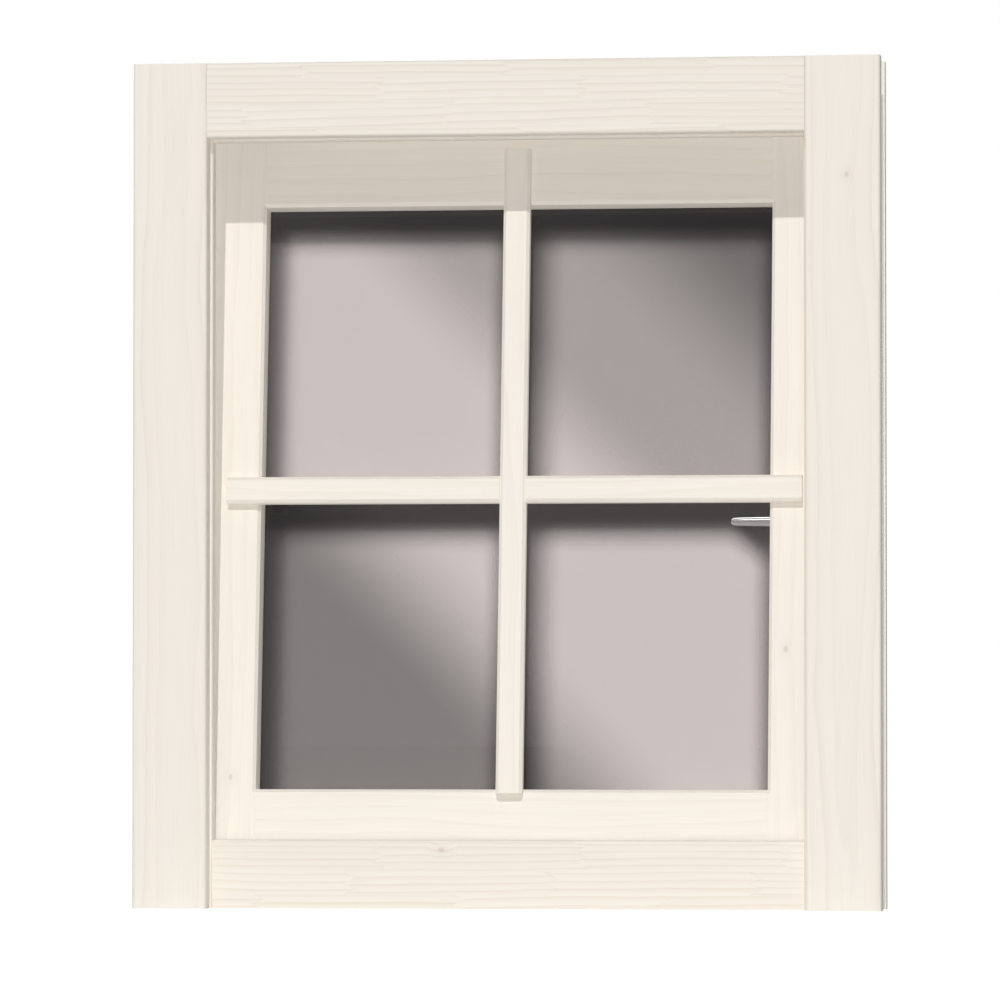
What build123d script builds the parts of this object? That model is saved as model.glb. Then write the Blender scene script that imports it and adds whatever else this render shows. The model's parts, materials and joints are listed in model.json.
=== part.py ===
from build123d import *

import math
import os

# Timber tilt-and-turn casement window, built into a solid wall.
# X runs to the right as seen from outdoors, Y runs from outdoors to indoors, Z is up.
# The origin is at the middle of the sill's underside, in the wall's middle plane.
# The sash is modelled tilted open. Its pieces are drawn in the closed position and
# carried to the tilted one by tilted().

# ---- Frame -------------------------------------------------------------------------
WIDTH = 700.0                # over the outer casings
HEIGHT = 790.0
WALL = 44.0                  # wall thickness that the casings clasp
CASING_WIDTH = 70.0
CASING_THICK = 20.0
CASING_ROUND = 3.0
INNER_CASING_THICK = 18.0
REVEAL = 2.5                 # frame lip that shows inside the casing
LIP_THICK = 15.0             # frame lip, through the wall
LIP_ROUND = 2.0
LAP = 16.5                   # sash behind the lip
SASH_GAP = 3.0               # lip to sash face, where the seal sits
SEAL_THICK = 2.5
SEAL_WIDTH = 6.0
SEAL_INSET = 1.0             # lip's edge to the seal
HARDWARE_GAP = 12.0          # sash edge to frame rebate
CORE = 16.0                  # frame timber beyond the rebate
SILL_FACE = 64.0             # height of the sill's front
SILL_FLOOR_DROP = 26.0       # from the top of the sill's lip to its rebate floor

# ---- Sash --------------------------------------------------------------------------
SASH_THICK = 52.0
STILE = 53.0
TOP_RAIL = 74.0
BOTTOM_RAIL = 57.5
SASH_BEVEL = 3.0
GLASS_REBATE = 15.0          # width of the step that holds the glass
GLASS_DEPTH = 26.0           # sash face to that step
TENON_THICK = 14.0
TENON_INSET = 8.0            # sash face to tenon, and sash's bottom edge to tenon
TENON_SIGHT = 2.0            # rail's inner edge to its tenon
TENON_TOP = 14.0             # sash's top edge to tenon, clear of the stay guide
TENON_LONG = 34.0
HINGE_OUT = 0.5              # vertical axis beyond the rebate
BAR_WIDTH = 25.0
BAR_BEVEL = 3.0
BAR_DROP = 4.0               # horizontal bar below the middle of the sash
BAR_THICK = 12.0
BAR_LAP_SIDE = 31.0          # horizontal bar over each stile
BAR_LAP_TOP = 52.0
BAR_LAP_BOTTOM = 5.0
BAR_SCREW_IN = 8.0           # sight edge to the screws from behind

# ---- Glazing -----------------------------------------------------------------------
TAPE = 1.0
PANE = 4.0
PANE_SPACE = 6.0
GLASS_EDGE_GAP = 3.0
SPACER_INSET = 4.5
SPACER_WIDTH = 6.5
TAPE_INSET = 1.5
TAPE_WIDTH = 9.0
BLOCK_LONG = 40.0
BEAD_ROUND = 3.0
BRAD_RADIUS = 0.8
BRAD_LONG = 24.0
BRAD_IN = 50.0               # bead's ends to its end pins
BLOCK_SHARE = 0.6            # setting blocks along the glass, from its middle

# ---- Hinges and stay ---------------------------------------------------------------
TILT_OPEN = 6.3              # degrees, on the stay's stop
PIVOT_OUT = 8.0              # sash's room face to both hinge axes
PIVOT_DROP = 4.0             # sash's bottom edge down to the tilt axis
PIN_RADIUS = 3.0
STUB_RADIUS = 4.0
RUNNING = 0.08               # radial clearance of a pin in its bore
KNUCKLE = 8.0
KNUCKLE_CLEAR = 1.0          # knuckle to the bearing's plate
EYE = 7.5
PLATE = 3.0
PLATE_ROUND = 4.0
LUG_HIGH = 10.0
LUG_DROP = 24.0              # tilt axis down to the corner bearing's lug
PIVOT_RISE = 18.0            # tilt axis up to the top of the bearing's pin
STUB_LONG = 36.0             # vertical axis to the end of the tilt stub
HINGE_CLEAR = 9.5            # vertical axis to the sash hinge
BEARING_REACH = (40.0, 3.0)  # vertical axis to the bearing plate's two edges
CORNER_PLATE = (30.0, 16.0)  # corner bearing's plate, below and above the tilt axis
STAY_PLATE = (12.0, 8.0)     # stay bearing's plate, below its lug and from the frame's top
PLATE_SCREW_IN = 7.0         # plate's ends to its screws
PLATE_SCREW_ACROSS = (9.0, 28.0)
HINGE_PLATE = (8.0, 62.0)    # sash hinge's plate, above the tilt axis
HINGE_PLATE_IN = (37.0, 1.0)        # sash's edge to the plate's two edges
HINGE_SCREWS = (18.0, 8.0, 8.0)     # from the plate's bottom, top and sides
STAY_LONG = 200.0            # vertical axis to the stay's end pin
STAY_WIDE = 14.0
STAY_CRANK = 25.0
STAY_LIFT = 6.0              # sash's top edge to the stay
STAY_PIN_SLACK = 1.2
STAY_PIN_DEEP = 5.5          # stay's end pin below the sash's top edge
STAY_RIVET = (4.2, 0.8)      # the end pin's head: radius and height
GUIDE_PAST = 55.0            # stay guide beyond each end of the pin's travel
GUIDE_SCREW_IN = 9.0
GUIDE_TRENCH = (60.0, 9.0)   # length and depth of the pocket under the guide
TILT_PIN = (25.5, 15.5, 2.0)        # sash's edge to the lug's faces and to the pin's end
TROUGH_FALL = 0.3            # tilt pin down to the shelf that it rests on
TROUGH_GAP = 0.5             # tilt pin to the trough's back
TROUGH_LIP = 5.0
TROUGH_THICK = 6.0
TROUGH_PLATE = (32.0, 22.0)  # width, and spacing of its screws

# ---- Lock --------------------------------------------------------------------------
LOCK_LINE = 35.0             # sash face to the lock's centre line
BACKSET = 21.5               # sash edge to the handle's axis
HANDLE_HEIGHT = 322.0        # sash's bottom edge to the handle's axis
LOCK_STROKE = 18.0           # rod travel for a quarter turn of the handle
FACEPLATE = (16.0, 2.5)
FACEPLATE_INSET = (96.0, 47.5)      # from the sash's bottom and top edges
ROD = (9.0, 2.5)
ROD_INSET = (126.0, 77.5)
ROD_GAP = 0.5
CAM_INSET = (186.0, 107.5)
CAM_RADIUS = 3.5
CAM_HEAD = (4.2, 2.5)
CAM_REACH = 8.0              # beyond the sash edge
KEEP_BASE = (17.0, 70.0, 3.0)
KEEP_HOOK = (3.5, 22.0, 8.0)
KEEP_ROUND = 3.0
KEEP_SHOULDER = 4.5          # cam's axis to the hook
KEEP_FRONT = 9.0             # cam's axis to the plate's outdoor edge
KEEP_HOOK_DROP = 4.0         # locked cam down to the hook's middle
KEEP_SCREWS = (-0.4, 0.42)   # shares of the plate's height, from its middle
HOOK_ROOT = 0.5              # hook's overlap with its plate
GEARBOX = (12.0, 110.0, 25.8)
SPINDLE = 7.0
SPINDLE_OUT = 26.0           # beyond the sash's room face, inside the handle's neck
FOLLOWER = 6.0
SPINDLE_HOLE = 9.0

# ---- Handle ------------------------------------------------------------------------
ROSETTE = (28.0, 66.0, 7.0)
ROSETTE_CAP = 2.5
ROSETTE_SCREW_SPACING = 43.0
NECK_RADIUS = 7.0
NECK_LONG = 36.0
NECK_GAP = 1.0               # neck clear of the sash's face, inside the rosette
LEVER_LONG = 77.0
LEVER_ENDS = (7.0, 4.8)
LEVER_THICK = 10.0
LEVER_ROUND = 3.5

# ---- Screws: head radius, head height, shank radius, length -------------------------
CASING_SCREW = (4.0, 2.6, 1.9, 30.0)
INNER_SCREW = (4.4, 2.8, 2.1, 45.0)
FRAME_SCREW = (4.8, 3.0, 2.4, 55.0)
BAR_SCREW = (3.6, 2.2, 1.6, 32.0)
PLATE_SCREW = (3.2, 2.0, 1.5, 18.0)
ROSETTE_SCREW = (4.4, 2.6, 2.4, 42.0)
FACE_SCREW = (3.0, 1.9, 1.4, 22.0)
FACE_SCREW_IN = 9.0          # faceplate's ends to its end screws
RECESS = (1.08, 0.28, 1.2)   # cross slot: length and width over the head's radius, and depth
SILL_SCREWS = (0.3, 0.72)    # shares of the sill's height
HEAD_SCREW_IN = (8.0, 4.0)   # from the room face, and below the middle of the head
FIXING_HOLE = 3.0            # radius of the holes for the wall screws
FIXING_INSET = 150.0         # from the frame's bottom and top
SCREW_INSET = 110.0          # casing screws, from the casing's ends

# ---- Places that follow from the sizes above ----------------------------------------
OUT = -WALL / 2              # the wall's outdoor face
IN = WALL / 2                # the wall's room face
CASING_IN = WIDTH / 2 - CASING_WIDTH
LIP_IN = CASING_IN - REVEAL
SASH_X = LIP_IN + LAP
REBATE_X = SASH_X + HARDWARE_GAP
CORE_X = REBATE_X + CORE
CASING_BASE = HEIGHT - CASING_WIDTH
HEAD_LIP = CASING_BASE - REVEAL
SASH_TOP = HEAD_LIP + LAP
HEAD_REBATE = SASH_TOP + HARDWARE_GAP
HEAD_TOP = HEAD_REBATE + CORE
SILL_FLOOR = SILL_FACE - SILL_FLOOR_DROP
SASH_BASE = SILL_FACE - LAP
LIP_BACK = OUT + LIP_THICK
SASH_FACE = LIP_BACK + SASH_GAP
SASH_BACK = SASH_FACE + SASH_THICK
ROOM_FACE = IN + INNER_CASING_THICK
GLASS_STEP = SASH_FACE + GLASS_DEPTH
SIGHT_X = SASH_X - STILE
SIGHT_TOP = SASH_TOP - TOP_RAIL
SIGHT_BASE = SASH_BASE + BOTTOM_RAIL
STEP_X = SIGHT_X + GLASS_REBATE
STEP_TOP = SIGHT_TOP + GLASS_REBATE
STEP_BASE = SIGHT_BASE - GLASS_REBATE
MIDDLE = (SASH_BASE + SASH_TOP) / 2
BAR_Z = MIDDLE - BAR_DROP
HINGE_X = -REBATE_X - HINGE_OUT
AXIS_Y = max(SASH_BACK + PIVOT_OUT, ROOM_FACE + PLATE + KNUCKLE + KNUCKLE_CLEAR)
TILT_Z = SASH_BASE - PIVOT_DROP
LOCK_Y = SASH_FACE + LOCK_LINE
HANDLE_X = SASH_X - BACKSET
HANDLE_Z = SASH_BASE + HANDLE_HEIGHT
BEAD_Y = GLASS_STEP + TAPE + 2 * PANE + PANE_SPACE
FACEPLATE_SPAN = (SASH_BASE + FACEPLATE_INSET[0], SASH_TOP - FACEPLATE_INSET[1])
ROD_SPAN = (SASH_BASE + ROD_INSET[0], SASH_TOP - ROD_INSET[1])
CAM_HEIGHTS = (SASH_BASE + CAM_INSET[0], SASH_TOP - CAM_INSET[1])
FIXING_HEIGHTS = (FIXING_INSET, HEAD_TOP - FIXING_INSET)
SCREW_HEIGHTS = (SCREW_INSET, HEIGHT / 2, HEIGHT - SCREW_INSET)

PIVOT = Location((0, AXIS_Y, TILT_Z))
SWING = PIVOT * Location((0, 0, 0), (-TILT_OPEN, 0, 0)) * PIVOT.inverse()


def carried(motion, thing):
    """A plane or a place, moved by a location."""
    if isinstance(thing, Plane):
        return Plane(motion * thing.location)
    return motion * thing


def tilted(thing):
    """A plane or place on the closed sash, carried to the tilted sash."""
    return carried(SWING, thing)


def facing(depth):
    """A drawing plane parallel to the window. Its normal points outdoors."""
    return Plane.XZ.offset(-depth)


def aimed(point, direction, across):
    """A plane at a point whose normal is the way that a screw drives."""
    return Plane(origin=point, x_dir=across, z_dir=direction)


def member(plane, points, length, eased=(), ease=fillet, size=0.0, cutters=()):
    """A moulded length of timber or strip: an outline run along its plane's normal."""
    with BuildPart() as piece:
        with BuildSketch(plane) as section:
            with BuildLine():
                Polyline(*points, close=True)
            make_face()
            if eased:
                corners = [
                    vertex
                    for vertex in section.vertices()
                    if any(abs(vertex.X - u) + abs(vertex.Y - v) < 0.01 for u, v in eased)
                ]
                ease(corners, size)
        extrude(amount=length)
        for cutter in cutters:
            add(cutter, mode=Mode.SUBTRACT)
    return piece


def box_points(low_u, low_v, high_u, high_v):
    """The corners of an upright rectangle."""
    return ((low_u, low_v), (high_u, low_v), (high_u, high_v), (low_u, high_v))


def screws(planes, size, recess=True):
    """Countersunk screws, one driven down each plane's normal from its origin."""
    head, head_high, shank, length = size
    slot_long, slot_wide, slot_deep = RECESS
    with BuildPart() as group:
        for plane in planes:
            side = Plane(plane.origin, x_dir=plane.x_dir, z_dir=plane.x_dir.cross(plane.z_dir))
            with BuildSketch(side):
                with BuildLine():
                    Polyline(
                        (0, 0), (head, 0), (shank, head_high), (shank, length - 2 * shank),
                        (0, length), close=True,
                    )
                make_face()
            revolve(axis=Axis(plane.origin, plane.z_dir))
            if recess:
                with BuildSketch(plane):
                    Rectangle(slot_long * head, slot_wide * head)
                    Rectangle(slot_wide * head, slot_long * head)
                extrude(amount=slot_deep, mode=Mode.SUBTRACT)
    return group


def ring(plane, half_width, low, high, band, length):
    """A rectangular loop of strip, standing on its plane."""
    with BuildPart() as loop:
        with BuildSketch(plane):
            with Locations((0, (low + high) / 2)):
                Rectangle(2 * half_width, high - low)
                Rectangle(2 * (half_width - band), high - low - 2 * band, mode=Mode.SUBTRACT)
        extrude(amount=length)
    return loop


pieces = {}

# ---- Frame screws -------------------------------------------------------------------
# The outer casings are screwed from the rebate, through the lip, where the sash hides them.
CASING_SCREW_X = (LIP_IN + LAP + REBATE_X) / 2
CASING_SCREW_Z = (SASH_TOP + HEAD_REBATE) / 2
casing_spots = [(side * CASING_SCREW_X, height) for side in (-1, 1) for height in SCREW_HEIGHTS]
casing_spots += [(x, CASING_SCREW_Z) for x in (-WIDTH / 4, WIDTH / 4)]
casing_planes = [aimed((x, LIP_BACK, z), (0, -1, 0), (1, 0, 0)) for x, z in casing_spots]
pieces["casing_screws"] = screws(casing_planes, CASING_SCREW)
casing_holes = screws(casing_planes, CASING_SCREW, recess=False).part

INNER_SCREW_X = (REBATE_X + CORE_X) / 2
INNER_SCREW_Z = (HEAD_REBATE + HEAD_TOP) / 2
inner_spots = [(side * INNER_SCREW_X, height) for side in (-1, 1) for height in SCREW_HEIGHTS]
inner_spots += [(x, INNER_SCREW_Z) for x in (-WIDTH / 4, 0.0, WIDTH / 4)]
inner_planes = [aimed((x, ROOM_FACE, z), (0, -1, 0), (1, 0, 0)) for x, z in inner_spots]
pieces["inner_casing_screws"] = screws(inner_planes, INNER_SCREW)
inner_holes = screws(inner_planes, INNER_SCREW, recess=False).part

# The jambs are screwed to the ends of the sill and the head from the wall groove.
frame_planes = []
for side in (-1, 1):
    for y, z in (
        (0.0, SILL_FLOOR * SILL_SCREWS[0]),
        (0.0, SILL_FLOOR * SILL_SCREWS[1]),
        (IN - HEAD_SCREW_IN[0], (HEAD_REBATE + HEAD_TOP) / 2 - HEAD_SCREW_IN[1]),
    ):
        frame_planes.append(aimed((side * CORE_X, y, z), (-side, 0, 0), (0, 1, 0)))
pieces["frame_screws"] = screws(frame_planes, FRAME_SCREW)
frame_holes = screws(frame_planes, FRAME_SCREW, recess=False).part

# ---- Frame timber -------------------------------------------------------------------
for side, name in ((-1, "left"), (1, "right")):
    outer_edge = side * WIDTH / 2
    inner_edge = side * CASING_IN
    front = OUT - CASING_THICK
    pieces["casing_" + name] = member(
        Plane.XY,
        ((inner_edge, front), (outer_edge, front), (outer_edge, OUT), (inner_edge, OUT)),
        HEIGHT,
        eased=((inner_edge, front), (outer_edge, front)),
        size=CASING_ROUND,
    )
pieces["casing_top"] = member(
    Plane.YZ.offset(-CASING_IN),
    box_points(OUT - CASING_THICK, CASING_BASE, OUT, HEIGHT),
    2 * CASING_IN,
    eased=((OUT - CASING_THICK, CASING_BASE), (OUT - CASING_THICK, HEIGHT)),
    size=CASING_ROUND,
)

for side, name in ((-1, "left"), (1, "right")):
    lip, rebate, core = side * LIP_IN, side * REBATE_X, side * CORE_X
    with BuildPart() as jamb:
        with BuildSketch(Plane.XY) as jamb_section:
            with BuildLine():
                Polyline(
                    (lip, OUT), (core, OUT), (core, IN), (rebate, IN), (rebate, LIP_BACK),
                    (lip, LIP_BACK), close=True,
                )
            make_face()
            fillet(jamb_section.vertices().sort_by_distance((lip, OUT, 0))[0], LIP_ROUND)
        extrude(amount=HEAD_TOP)
        for height in FIXING_HEIGHTS:
            with BuildSketch(aimed((rebate, (LIP_BACK + IN) / 2, height), (side, 0, 0), (0, 1, 0))):
                Circle(FIXING_HOLE)
            extrude(amount=CORE, mode=Mode.SUBTRACT)
    pieces["jamb_" + name] = jamb

with BuildPart() as head:
    with BuildSketch(Plane.YZ) as head_lip:
        with BuildLine():
            Polyline(*box_points(OUT, HEAD_LIP, LIP_BACK, HEAD_TOP), close=True)
        make_face()
        fillet(head_lip.vertices().sort_by_distance((OUT, HEAD_LIP, 0))[0], LIP_ROUND)
    extrude(amount=LIP_IN, both=True)
    with BuildSketch(Plane.YZ):
        with BuildLine():
            Polyline(*box_points(LIP_BACK, HEAD_REBATE, IN, HEAD_TOP), close=True)
        make_face()
    extrude(amount=REBATE_X, both=True)
pieces["head"] = head

with BuildPart() as sill:
    with BuildSketch(Plane.YZ) as sill_lip:
        with BuildLine():
            Polyline(*box_points(OUT, 0, LIP_BACK, SILL_FACE), close=True)
        make_face()
        fillet(sill_lip.vertices().sort_by_distance((OUT, SILL_FACE, 0))[0], LIP_ROUND)
    extrude(amount=LIP_IN, both=True)
    with BuildSketch(Plane.YZ):
        with BuildLine():
            Polyline(*box_points(LIP_BACK, 0, ROOM_FACE, SILL_FLOOR), close=True)
        make_face()
    extrude(amount=REBATE_X, both=True)
pieces["sill"] = sill

with BuildPart() as frame_seal:
    seal_x = LIP_IN + SEAL_INSET + SEAL_WIDTH
    seal_base = SILL_FACE - SEAL_INSET - SEAL_WIDTH
    seal_top = HEAD_LIP + SEAL_INSET + SEAL_WIDTH
    with BuildSketch(facing(LIP_BACK)):
        with Locations((0, (seal_base + seal_top) / 2)):
            Rectangle(2 * seal_x, seal_top - seal_base)
            Rectangle(2 * (seal_x - SEAL_WIDTH), seal_top - seal_base - 2 * SEAL_WIDTH, mode=Mode.SUBTRACT)
    extrude(amount=-SEAL_THICK)
pieces["frame_seal"] = frame_seal

# ---- Bottom corner bearing, on the left inner casing and turned about by the sash ----
LUG_BASE = TILT_Z - LUG_DROP
PIVOT_TOP = TILT_Z + PIVOT_RISE
STAY_Z = SASH_TOP + STAY_LIFT
STAY_LUG = STAY_Z + PLATE + 4.5
BEARING_OUTER = HINGE_X - BEARING_REACH[0]
BEARING_INNER = HINGE_X - BEARING_REACH[1]


def bearing(lug_low, lug_high, plate_low, plate_high, screw_planes):
    """A hinge bearing: a plate on the room face with a lug out to the vertical axis."""
    with BuildPart() as block:
        with BuildSketch(facing(ROOM_FACE)):
            with Locations(((BEARING_OUTER + BEARING_INNER) / 2, (plate_low + plate_high) / 2)):
                RectangleRounded(BEARING_INNER - BEARING_OUTER, plate_high - plate_low, PLATE_ROUND)
        extrude(amount=-PLATE)
        with BuildSketch(Plane.XY.offset(lug_low)):
            with Locations((HINGE_X, AXIS_Y)):
                Circle(KNUCKLE)
            with BuildLine():
                Polyline(
                    (HINGE_X - 24.0, ROOM_FACE), (BEARING_INNER, ROOM_FACE),
                    (HINGE_X + 5.0, AXIS_Y - 6.0), (HINGE_X - 5.5, AXIS_Y + 5.5), close=True,
                )
            make_face()
            with Locations((HINGE_X, AXIS_Y)):
                Circle(PIN_RADIUS, mode=Mode.SUBTRACT)
        extrude(amount=lug_high - lug_low)
        add(screws(screw_planes, PLATE_SCREW, recess=False).part, mode=Mode.SUBTRACT)
    return block


def post(low, high, radius):
    """A round pin on the vertical hinge axis, eased at its top."""
    with BuildPart() as pin:
        with BuildSketch(Plane.XY.offset(low)):
            with Locations((HINGE_X, AXIS_Y)):
                Circle(radius)
        extrude(amount=high - low)
        chamfer(pin.edges().group_by(Axis.Z)[-1], 0.5)
    return pin


corner_plate = (TILT_Z - CORNER_PLATE[0], TILT_Z + CORNER_PLATE[1])
stay_plate = (STAY_LUG - STAY_PLATE[0], HEIGHT - STAY_PLATE[1])
plate_x = [BEARING_OUTER + across for across in PLATE_SCREW_ACROSS]


def bearing_screws(low, high):
    """Three screws into a bearing's plate: two by its outer edge, one by its lug."""
    spots = (
        (plate_x[0], low + PLATE_SCREW_IN),
        (plate_x[0], high - PLATE_SCREW_IN),
        (plate_x[1], high - PLATE_SCREW_IN),
    )
    return [aimed((x, ROOM_FACE + PLATE, z), (0, -1, 0), (1, 0, 0)) for x, z in spots]


corner_screws = bearing_screws(*corner_plate)
stay_screws = bearing_screws(*stay_plate)
pieces["bearing_screws"] = screws(corner_screws + stay_screws, PLATE_SCREW)
bearing_holes = screws(corner_screws + stay_screws, PLATE_SCREW, recess=False).part

pieces["corner_bearing"] = bearing(LUG_BASE, LUG_BASE + LUG_HIGH, *corner_plate, corner_screws)
pieces["corner_bearing_pin"] = post(LUG_BASE, PIVOT_TOP, PIN_RADIUS)
pieces["stay_bearing"] = bearing(STAY_LUG, STAY_LUG + LUG_HIGH, *stay_plate, stay_screws)
pieces["stay_bearing_pin"] = post(STAY_Z - 3.5, STAY_LUG + LUG_HIGH, PIN_RADIUS)

# ---- Lock keeps on the right, and the trough that carries the tilt pin ---------------
keep_front = LOCK_Y - KEEP_FRONT
keep_planes = []
with BuildPart() as keeps:
    for height in CAM_HEIGHTS:
        base_wide, base_high, base_thick = KEEP_BASE
        hook_wide, hook_high, hook_deep = KEEP_HOOK
        base_y = keep_front + base_wide / 2
        hook_y = LOCK_Y + KEEP_SHOULDER + hook_wide / 2
        with BuildSketch(Plane.YZ.offset(REBATE_X)):
            with Locations((base_y, height)):
                RectangleRounded(base_wide, base_high, KEEP_ROUND)
        extrude(amount=-base_thick)
        with BuildSketch(Plane.YZ.offset(REBATE_X - base_thick + HOOK_ROOT)):
            with Locations((hook_y, height - LOCK_STROKE - KEEP_HOOK_DROP)):
                Rectangle(hook_wide, hook_high)
        extrude(amount=HOOK_ROOT + base_thick - hook_deep)
        for share in KEEP_SCREWS:
            place = (REBATE_X - base_thick, base_y, height + share * base_high)
            keep_planes.append(aimed(place, (1, 0, 0), (0, 1, 0)))
    add(screws(keep_planes, PLATE_SCREW, recess=False).part, mode=Mode.SUBTRACT)
pieces["keeps"] = keeps

SHELF_CLEAR = (2.0, 1.0)     # shelf inside the tilt pin's two collars
TROUGH_BACK = 1.5            # trough's back above the tilt axis
TILT_PIN_X = [SASH_X - back for back in TILT_PIN]
shelf_x = (TILT_PIN_X[1] + SHELF_CLEAR[0], TILT_PIN_X[2] - SHELF_CLEAR[1])
shelf_middle = (shelf_x[0] + shelf_x[1]) / 2
shelf_top = TILT_Z - STUB_RADIUS - TROUGH_FALL
shelf_base = shelf_top - TROUGH_THICK
shelf_edge = AXIS_Y + TROUGH_LIP
trough_back = AXIS_Y - STUB_RADIUS - TROUGH_GAP
trough_top = TILT_Z + TROUGH_BACK
trough_foot = SILL_FLOOR * 0.3
trough_middle = SILL_FLOOR * 0.5
trough_high = SILL_FLOOR * 0.45
trough_screws = [
    aimed((shelf_middle + offset, ROOM_FACE + PLATE, trough_middle), (0, -1, 0), (1, 0, 0))
    for offset in (-TROUGH_PLATE[1] / 2, TROUGH_PLATE[1] / 2)
]
with BuildPart() as tilt_keep:
    with BuildSketch(Plane.YZ.offset(shelf_x[0])):
        with BuildLine():
            Polyline(
                (ROOM_FACE, trough_foot), (ROOM_FACE + PLATE, trough_foot),
                (ROOM_FACE + PLATE, shelf_base), (shelf_edge, shelf_base),
                (shelf_edge, shelf_top), (trough_back, shelf_top), (trough_back, trough_top),
                (ROOM_FACE, trough_top), close=True,
            )
        make_face()
    extrude(amount=shelf_x[1] - shelf_x[0])
    with BuildSketch(facing(ROOM_FACE)):
        with Locations((shelf_middle, trough_middle)):
            RectangleRounded(TROUGH_PLATE[0], trough_high, KEEP_ROUND)
    extrude(amount=-PLATE)
    add(screws(trough_screws, PLATE_SCREW, recess=False).part, mode=Mode.SUBTRACT)
pieces["tilt_keep"] = tilt_keep
pieces["keep_screws"] = screws(keep_planes + trough_screws, PLATE_SCREW)
keep_holes = screws(keep_planes + trough_screws, PLATE_SCREW, recess=False).part

for side, name in ((-1, "left"), (1, "right")):
    near, far = side * REBATE_X, side * WIDTH / 2
    pieces["inner_casing_" + name] = member(
        Plane.XY,
        ((near, IN), (far, IN), (far, ROOM_FACE), (near, ROOM_FACE)),
        HEIGHT,
        eased=((far, ROOM_FACE),),
        size=CASING_ROUND,
    )
pieces["inner_casing_top"] = member(
    Plane.YZ.offset(-REBATE_X),
    box_points(IN, HEAD_REBATE, ROOM_FACE, HEIGHT),
    2 * REBATE_X,
    eased=((ROOM_FACE, HEIGHT),),
    size=CASING_ROUND,
)

# Every screw's hole is cut in whatever timber it passes through.
for name in (
    "casing_left", "casing_right", "casing_top", "jamb_left", "jamb_right", "head", "sill",
    "inner_casing_left", "inner_casing_right", "inner_casing_top",
):
    with BuildPart() as drilled:
        add(pieces[name].part)
        for holes in (casing_holes, inner_holes, frame_holes, bearing_holes, keep_holes):
            add(holes, mode=Mode.SUBTRACT)
    pieces[name] = drilled

# ---- Corner pivot: turns on the bearing's pin and carries the tilt axis --------------
STUB_END = HINGE_X + STUB_LONG
with BuildPart() as corner_pivot:
    with BuildSketch(Plane.XY.offset(LUG_BASE + LUG_HIGH + 0.3)):
        with Locations((HINGE_X, AXIS_Y)):
            Circle(KNUCKLE)
    extrude(amount=PIVOT_TOP - LUG_BASE - LUG_HIGH - 0.3)
    with BuildSketch(Plane.YZ.offset(HINGE_X)):
        with Locations((AXIS_Y, TILT_Z)):
            Circle(STUB_RADIUS)
    extrude(amount=STUB_END - HINGE_X)
    with BuildSketch(Plane.XY.offset(LUG_BASE)):
        with Locations((HINGE_X, AXIS_Y)):
            Circle(PIN_RADIUS + RUNNING)
    extrude(amount=PIVOT_TOP - LUG_BASE, mode=Mode.SUBTRACT)
pieces["corner_pivot"] = corner_pivot

# ---- Stay: swings about the vertical axis as the sash tilts ---------------------------
stay_reach = LOCK_Y - AXIS_Y                    # negative: the guide is outside the axis
sash_run = Location((0, LOCK_Y, SASH_TOP))
open_reach = tilted(sash_run).position.Y - AXIS_Y
closed_angle = math.degrees(math.asin(stay_reach / STAY_LONG))
open_angle = math.degrees(math.asin(open_reach / STAY_LONG))
closed_run = STAY_LONG * math.cos(math.radians(closed_angle))
open_run = STAY_LONG * math.cos(math.radians(open_angle))
HINGE = Location((HINGE_X, AXIS_Y, 0))
STAY_BOSS = (2.5, 4.0)       # boss below and above the arm
STAY_SWING = HINGE * Location((0, 0, 0), (0, 0, open_angle - closed_angle))


def on_stay(height):
    """A level plane at the vertical axis, turned with the opened stay."""
    return carried(STAY_SWING, Plane.XY.offset(height))


with BuildPart() as stay_arm:
    with BuildSketch(on_stay(STAY_Z)):
        with BuildLine() as arm_line:
            Polyline((0, 0), (STAY_CRANK, stay_reach), (closed_run, stay_reach))
        trace(arm_line.edges(), STAY_WIDE)
        Circle(KNUCKLE)
        with Locations((closed_run, stay_reach), (STAY_CRANK, stay_reach)):
            Circle(STAY_WIDE / 2)
        with Locations((closed_run, stay_reach)):
            Circle(PIN_RADIUS, mode=Mode.SUBTRACT)
    extrude(amount=PLATE)
    with BuildSketch(on_stay(STAY_Z - STAY_BOSS[0])):
        Circle(KNUCKLE)
    extrude(amount=PLATE + sum(STAY_BOSS))
    with BuildSketch(on_stay(STAY_Z - STAY_BOSS[0])):
        Circle(PIN_RADIUS + RUNNING)
    extrude(amount=PLATE + sum(STAY_BOSS), mode=Mode.SUBTRACT)
pieces["stay_arm"] = stay_arm

PIN_FOOT = SASH_TOP - STAY_PIN_DEEP
with BuildPart() as stay_pin:
    with BuildSketch(on_stay(PIN_FOOT)):
        with Locations((closed_run, stay_reach)):
            Circle(PIN_RADIUS)
    extrude(amount=STAY_Z + PLATE - PIN_FOOT)
    with BuildSketch(on_stay(STAY_Z + PLATE)):
        with Locations((closed_run, stay_reach)):
            Circle(STAY_RIVET[0])
    extrude(amount=STAY_RIVET[1])
pieces["stay_pin"] = stay_pin

# ---- Screws in the sash ---------------------------------------------------------------
bar_ends = [
    (-SIGHT_X - BAR_SCREW_IN, BAR_Z), (SIGHT_X + BAR_SCREW_IN, BAR_Z), (0.0, SIGHT_TOP + BAR_SCREW_IN),
]
bar_planes = [tilted(aimed((x, GLASS_STEP, z), (0, -1, 0), (1, 0, 0))) for x, z in bar_ends]
pieces["bar_screws"] = screws(bar_planes, BAR_SCREW)
bar_holes = screws(bar_planes, BAR_SCREW, recess=False).part

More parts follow.
